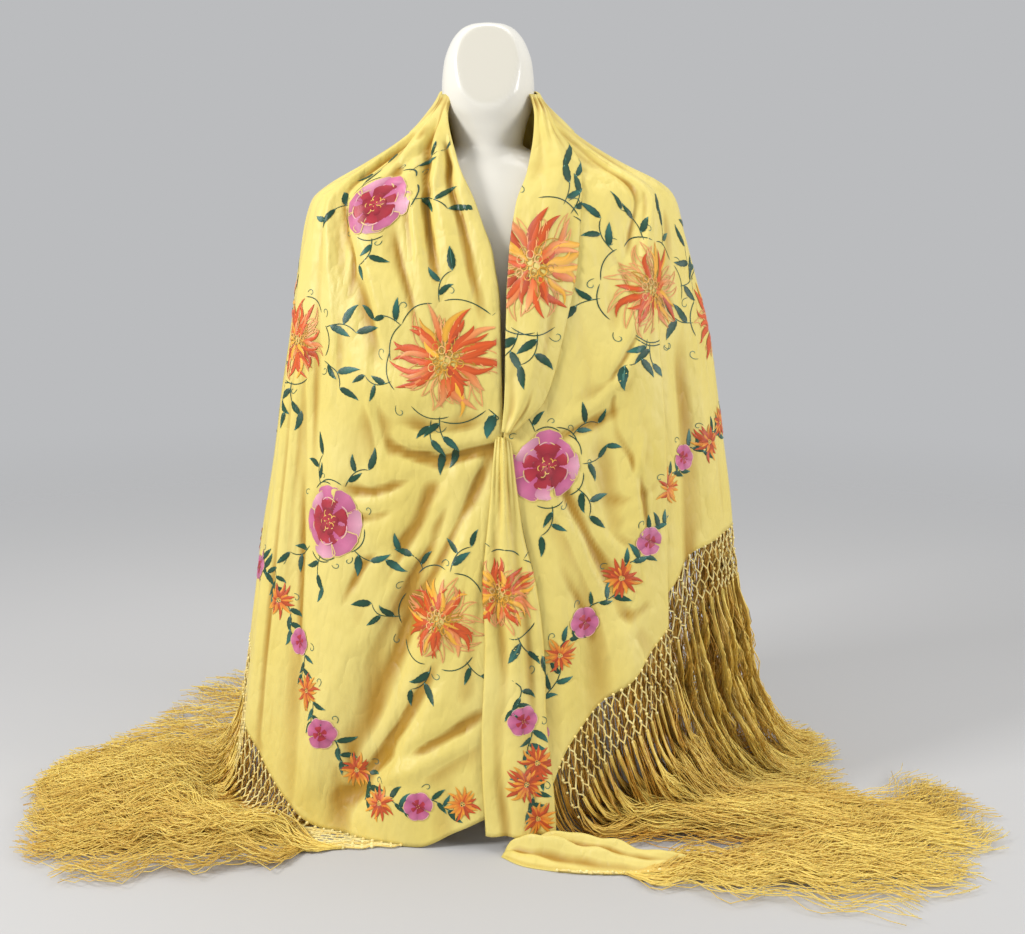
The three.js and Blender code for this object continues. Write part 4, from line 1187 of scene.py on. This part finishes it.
def needlework(name, ribbons):
    """One piece of embroidery from the ribbons of a stretch."""
    at, path, wide, start, end, crown, layer = (np.array(list(column), float) for column in zip(*ribbons))
    along = np.gradient(path, axis=1)
    side = unit(np.stack([along[..., 1], -along[..., 0]], -1))
    over = np.array([-1.0, 0.0, 1.0])
    local = path[:, :, None] + side[:, :, None] * (wide[:, :, None] * over)[..., None]
    scale = np.array([degree_length(name, *spot) for spot in at])
    across = at[:, 0, None, None] + local[..., 0] / scale[:, 0, None, None]
    up = at[:, 1, None, None] + local[..., 1] / scale[:, 1, None, None]
    crowned = crown[:, None, None] * (1 - np.abs(over)) * np.minimum(1, wide / 1.5)[:, :, None]
    lift = floss_height + layer_height * layer[:, None, None] + crowned
    points = on_stretch(name, across, up, lift)
    tint = mix(start[:, None], end[:, None], steps[None, :, None])[:, :, None]
    tint = np.clip(tint * shading[:, None], 0, 1)
    tint[..., 3] = 1
    run = np.cumsum(np.linalg.norm(along, axis=-1), axis=1)[:, :, None] * np.ones(3)
    mesh = repeated(flat_grid(2, ribbon_steps)[0], len(at))
    print(name, len(at), "ribbons,", 4 * ribbon_steps * len(at), "triangles")
    return place("embroidery_" + name, mesh, points.reshape(-1, 3),
                 thread=tint.reshape(-1, 4), run=run.reshape(-1))


stitching = [needlework(name, ribbons) for name, ribbons in work.items()]


# %% [markdown]
# ## The bust
# The display bust is a glossy white moulding with a blank oval face, and it carries the cloth. A
# sphere's rings are carried to the level sections, the same ones as in the CAD source.

# %% The bust's sections and its flat oval face
bust_sections = table(
    "z left right front back power",
    (1192, 3, 3, 3, 3, 2), (1189, 25, 25, 27, 27, 2), (1180, 42, 42, 47, 50, 2),
    (1160, 57, 57, 64, 68, 2), (1130, 67, 67, 74, 76, 2), (1095, 70, 70, 76, 74, 2),
    (1068, 67, 67, 70, 69, 2), (1040, 58, 58, 60, 62, 2), (1012, 53, 53, 54, 62, 2),
    (1000, 70, 74, 57, 70, 2), (982, 148, 158, 70, 86, 2.1), (962, 215, 233, 84, 98, 2.3),
    (940, 253, 271, 97, 107, 2.4), (905, 259, 274, 111, 115, 2.4), (860, 232, 240, 122, 118, 2.4),
    (800, 178, 178, 128, 112, 2.3), (700, 146, 146, 112, 98, 2.2), (600, 130, 130, 96, 88, 2.1),
    (480, 152, 152, 104, 106, 2.1), (400, 166, 166, 110, 116, 2.1), (330, 160, 160, 104, 110, 2.1),
)
face_plane = table("z depth", (1192, 34), (1067, 71))
chin, face_edge = 1064, 1.5  # the face's lowest point, and the roundness of its edge
last_ring = 0.97  # below this share of the sphere, the bust is closed by a flat end

bm = bmesh.new()
bmesh.ops.create_uvsphere(bm, u_segments=84, v_segments=112, radius=1)
mesh = mesh_of("bust", bm)
ball = coordinates(mesh)
down = np.arccos(np.clip(ball[:, 2], -1, 1)) / np.pi
heights = bust_sections["z"]
z = np.interp(np.minimum(1, down / last_ring) * (len(heights) - 1), np.arange(len(heights)), heights)
azimuth = np.degrees(np.arctan2(ball[:, 0], -ball[:, 1]))
x, y, way = on_section(bust_sections, azimuth, z)
closing = np.where(down > last_ring, (1 - down) / (1 - last_ring), 1) * (down > 1e-6)
depth = read(face_plane, "z", "depth", z)
on_face = smooth((z - chin) / 6)
behind_face = y + depth  # negative in front of the face's plane
y = mix(y, face_edge * np.logaddexp(0, behind_face / face_edge) - depth, on_face)
# the flat face, where the plastic is painted darker as shade
face = on_face * smooth((1 - behind_face) / 5)
bust = place("display_bust", mesh, np.stack([x * closing, y * closing, z], -1), face=face)
print("bust", len(mesh.polygons), "faces")


# %% [markdown]
# ## Materials
# Golden crepe has a soft sheen from its crinkled threads, floss silk is glossier along its length,
# and the fringe is plied silk whose strands catch the light one by one. Each finish is a few lines
# of shader arithmetic, so no picture is needed.

# %% A socket that can be added, multiplied and mixed
class Socket:
    """An output of a material's node tree."""

    def __init__(self, tree, output=None):
        self.tree, self.output = tree, output

    def node(self, kind, inputs=(), out=0, **settings):
        """Any other node, with its settings by name and its inputs by name or number."""
        made = self.tree.nodes.new(kind)
        for name, value in settings.items():
            setattr(made, name, value)
        for name, value in dict(inputs).items():
            if isinstance(value, Socket):
                self.tree.links.new(value.output, made.inputs[name])
            else:
                made.inputs[name].default_value = value
        return Socket(self.tree, made.outputs[out])

    def maths(self, operation, *values):
        return self.node("ShaderNodeMath", enumerate(values), operation=operation)

    def __add__(self, other):
        return self.maths("ADD", self, other)

    def __radd__(self, other):
        return self.maths("ADD", other, self)

    def __sub__(self, other):
        return self.maths("SUBTRACT", self, other)

    def __mul__(self, other):
        return self.maths("MULTIPLY", self, other)

    def __rmul__(self, other):
        return self.maths("MULTIPLY", other, self)

    def blend(self, low, high):
        """From one colour to another as this goes from 0 to 1."""
        inputs = {0: self, 6: low, 7: high}
        return self.node("ShaderNodeMix", inputs, out=2, data_type="RGBA")

    def noise(self, place, scale, detail=2.0):
        return self.node("ShaderNodeTexNoise", {"Vector": place, "Scale": scale, "Detail": detail})

    def named(self, name, out=2):
        return self.node("ShaderNodeAttribute", out=out, attribute_name=name)

    def bump(self, height, distance, strength=1.0):
        inputs = {"Height": height, "Distance": distance, "Strength": strength}
        return self.node("ShaderNodeBump", inputs)


def node_of(tree, kind):
    """The one node of a kind that a new material or world already has."""
    return next(node for node in tree.nodes if node.type == kind)


def material(name, finish, **constants):
    """A principled surface. finish gives the sockets that vary, and constants the rest."""
    made = bpy.data.materials.new(name)
    made.use_nodes = True
    tree = made.node_tree
    shader = node_of(tree, "BSDF_PRINCIPLED")
    for key, value in constants.items():
        shader.inputs[key.replace("_", " ")].default_value = value
    here = Socket(tree)
    place_of = here.node("ShaderNodeTexCoord", out=3)
    for key, socket in finish(here, place_of).items():
        tree.links.new(socket.output, shader.inputs[key])
    return made


def wear(piece, finish):
    piece.data.materials.clear()
    piece.data.materials.append(finish)


# %% The cloth, the threads, the bust and the stand
def silk_finish(here, place_of):
    broad = here.noise(place_of, 7.0)
    fine = here.noise(place_of, 950.0, 1.0)
    hung = here.node("ShaderNodeVectorMath", {0: place_of, 1: (1, 1, 0.45)}, operation="MULTIPLY")
    crumple = here.maths("ABSOLUTE", here.noise(hung, 19.0, 3.0) - 0.5)
    lit = broad.blend(colour("e2cb62"), colour("ebda88"))
    # painted shade: the silk is darkened towards a deep ochre where it lies in a crease
    tint = here.maths("MAXIMUM", here.named("crease_shade"), 0.0).blend(lit, colour("b0862a"))
    return {"Base Color": tint, "Normal": here.bump(crumple * 22 + fine * 0.35, 0.001, 0.6)}


silk = material(
    "silk_crepe", silk_finish, Roughness=0.46, Sheen_Weight=0.35, Sheen_Roughness=0.35,
    Sheen_Tint=colour("f2dc8a"), Specular_IOR_Level=0.4,
)


def thread_finish(dark, light):
    def finish(here, place_of):
        tone = here.named("tone")
        fine = here.noise(place_of, 700.0, 1.0)
        return {"Base Color": tone.blend(colour(dark), colour(light)), "Normal": here.bump(fine, 0.0003, 0.3)}

    return finish


fringe_silk = material(
    "fringe_silk", thread_finish("c48c28", "ffe478"), Roughness=0.4, Sheen_Weight=0.15,
    Sheen_Roughness=0.3, Sheen_Tint=colour("f5e2a0"),
)
net_silk = material(
    "net_silk", thread_finish("f0cc62", "fff0a8"), Roughness=0.45, Sheen_Weight=0.3, Sheen_Roughness=0.3,
)


def plastic_finish(here, place_of):
    face = here.named("face")
    # painted shade: the flat face is a darker grey-cream, and also a little rougher
    return {"Base Color": face.blend(colour("ece8dc"), colour("dad5c6")), "Roughness": 0.28 + 0.2 * face}


plastic = material("white_plastic", plastic_finish, Coat_Weight=0.3, Coat_Roughness=0.12)


def steel_finish(here, place_of):
    brushed = here.noise(place_of, 260.0)
    return {"Roughness": 0.3 + 0.15 * brushed}


steel = material("steel", steel_finish, Base_Color=colour("8f9295"), Metallic=1.0)


def floss_finish(here, place_of):
    ridges = here.maths("SINE", here.named("run") * 5.2)
    fine = here.noise(place_of, 1100.0, 1.0)
    return {"Base Color": here.named("thread", 0), "Normal": here.bump(ridges * 0.5 + fine, 0.0002, 0.5)}


floss_silk = material(
    "floss_silk", floss_finish, Roughness=0.38, Sheen_Weight=0.15, Sheen_Roughness=0.3,
)

wear(cloth, silk)
for piece in nets:
    wear(piece, net_silk)
for piece in [*fringes, *under_fringes]:
    wear(piece, fringe_silk)
for piece in stitching:
    wear(piece, floss_silk)
wear(bust, plastic)
for name in ("stand_pole", "stand_base"):
    wear(bpy.data.objects[name], steel)

# %% What each piece stands for in the CAD
cloth_nodes = (
    "shawl_front_right", "shawl_back", "shawl_front_left", "shawl_lapel", "shawl_neck_roll",
    "shawl_centre_fold", "shawl_floor_tip",
)
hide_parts(*cloth_nodes)
for piece, row in zip(fringes, fringe_rows):
    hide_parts("fringe_" + row["name"])
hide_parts("bust")
for piece, node in zip(under_fringes, ("fringe_right_front", "fringe_right_side", "fringe_left_side")):
    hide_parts(node)
fringes += under_fringes
for piece in [cloth, bust, *nets, *fringes, *stitching]:
    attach(piece, "root")


# %% [markdown]
# ## Table, light and view
# The photograph has an even pale ground and large soft lamps, the strongest from the upper left in
# front. The floor fades into an even grey, so that every view has the same quiet ground.

# %% The floor
bm = bmesh.new()
bmesh.ops.create_circle(bm, cap_ends=True, segments=96, radius=14)
floor = linked("floor", mesh_of("floor", bm))
paper = material("paper", lambda here, place_of: {}, Base_Color=colour("c0bfbe"), Roughness=0.95)
tree = paper.node_tree
here = Socket(tree)
place_of = here.node("ShaderNodeTexCoord", out=3)
radius = here.node("ShaderNodeVectorMath", {0: place_of}, out=1, operation="LENGTH")
fading = here.node("ShaderNodeMapRange", {"Value": radius, "From Min": 0.9, "From Max": 3.4},
                   interpolation_type="SMOOTHSTEP")
shown = Socket(tree, node_of(tree, "BSDF_PRINCIPLED").outputs[0])
clear = here.node("ShaderNodeBsdfTransparent")
faded = here.node("ShaderNodeMixShader", {0: fading, 1: shown, 2: clear})
tree.links.new(faded.output, node_of(tree, "OUTPUT_MATERIAL").inputs["Surface"])
wear(floor, paper)

# %% The light
world = bpy.data.worlds.new("studio")
bpy.context.scene.world = world
world.use_nodes = True
air = node_of(world.node_tree, "BACKGROUND")
air.inputs["Color"].default_value = colour("bbbcbe")
air.inputs["Strength"].default_value = 1.0
bpy.context.scene.view_settings.view_transform = "Standard"


def lamp(name, stands_at, towards, size, power):
    """A soft square lamp, turned towards a point."""
    light = bpy.data.lights.new(name, "AREA")
    light.shape, light.size, light.size_y, light.energy = "RECTANGLE", size, size, power
    made = linked(name, light)
    made.location = stands_at
    made.rotation_euler = (Vector(towards) - Vector(stands_at)).to_track_quat("-Z", "Y").to_euler()


lamp("key", (-2.6, -1.5, 2.3), (0, 0, 0.55), 0.9, 86)
lamp("fill", (2.8, -1.2, 1.5), (0, 0, 0.5), 1.2, 42)
lamp("top", (0.3, 0.5, 3.2), (0, 0, 0.4), 1.6, 28)

# %% The camera
view = linked("camera", bpy.data.cameras.new("camera"))
bpy.context.scene.camera = view
view.location = (0.037, -2.5, 1.04)
view.rotation_euler = (math.radians(78), 0, 0)
view.data.lens, view.data.sensor_width = 56.4, 36
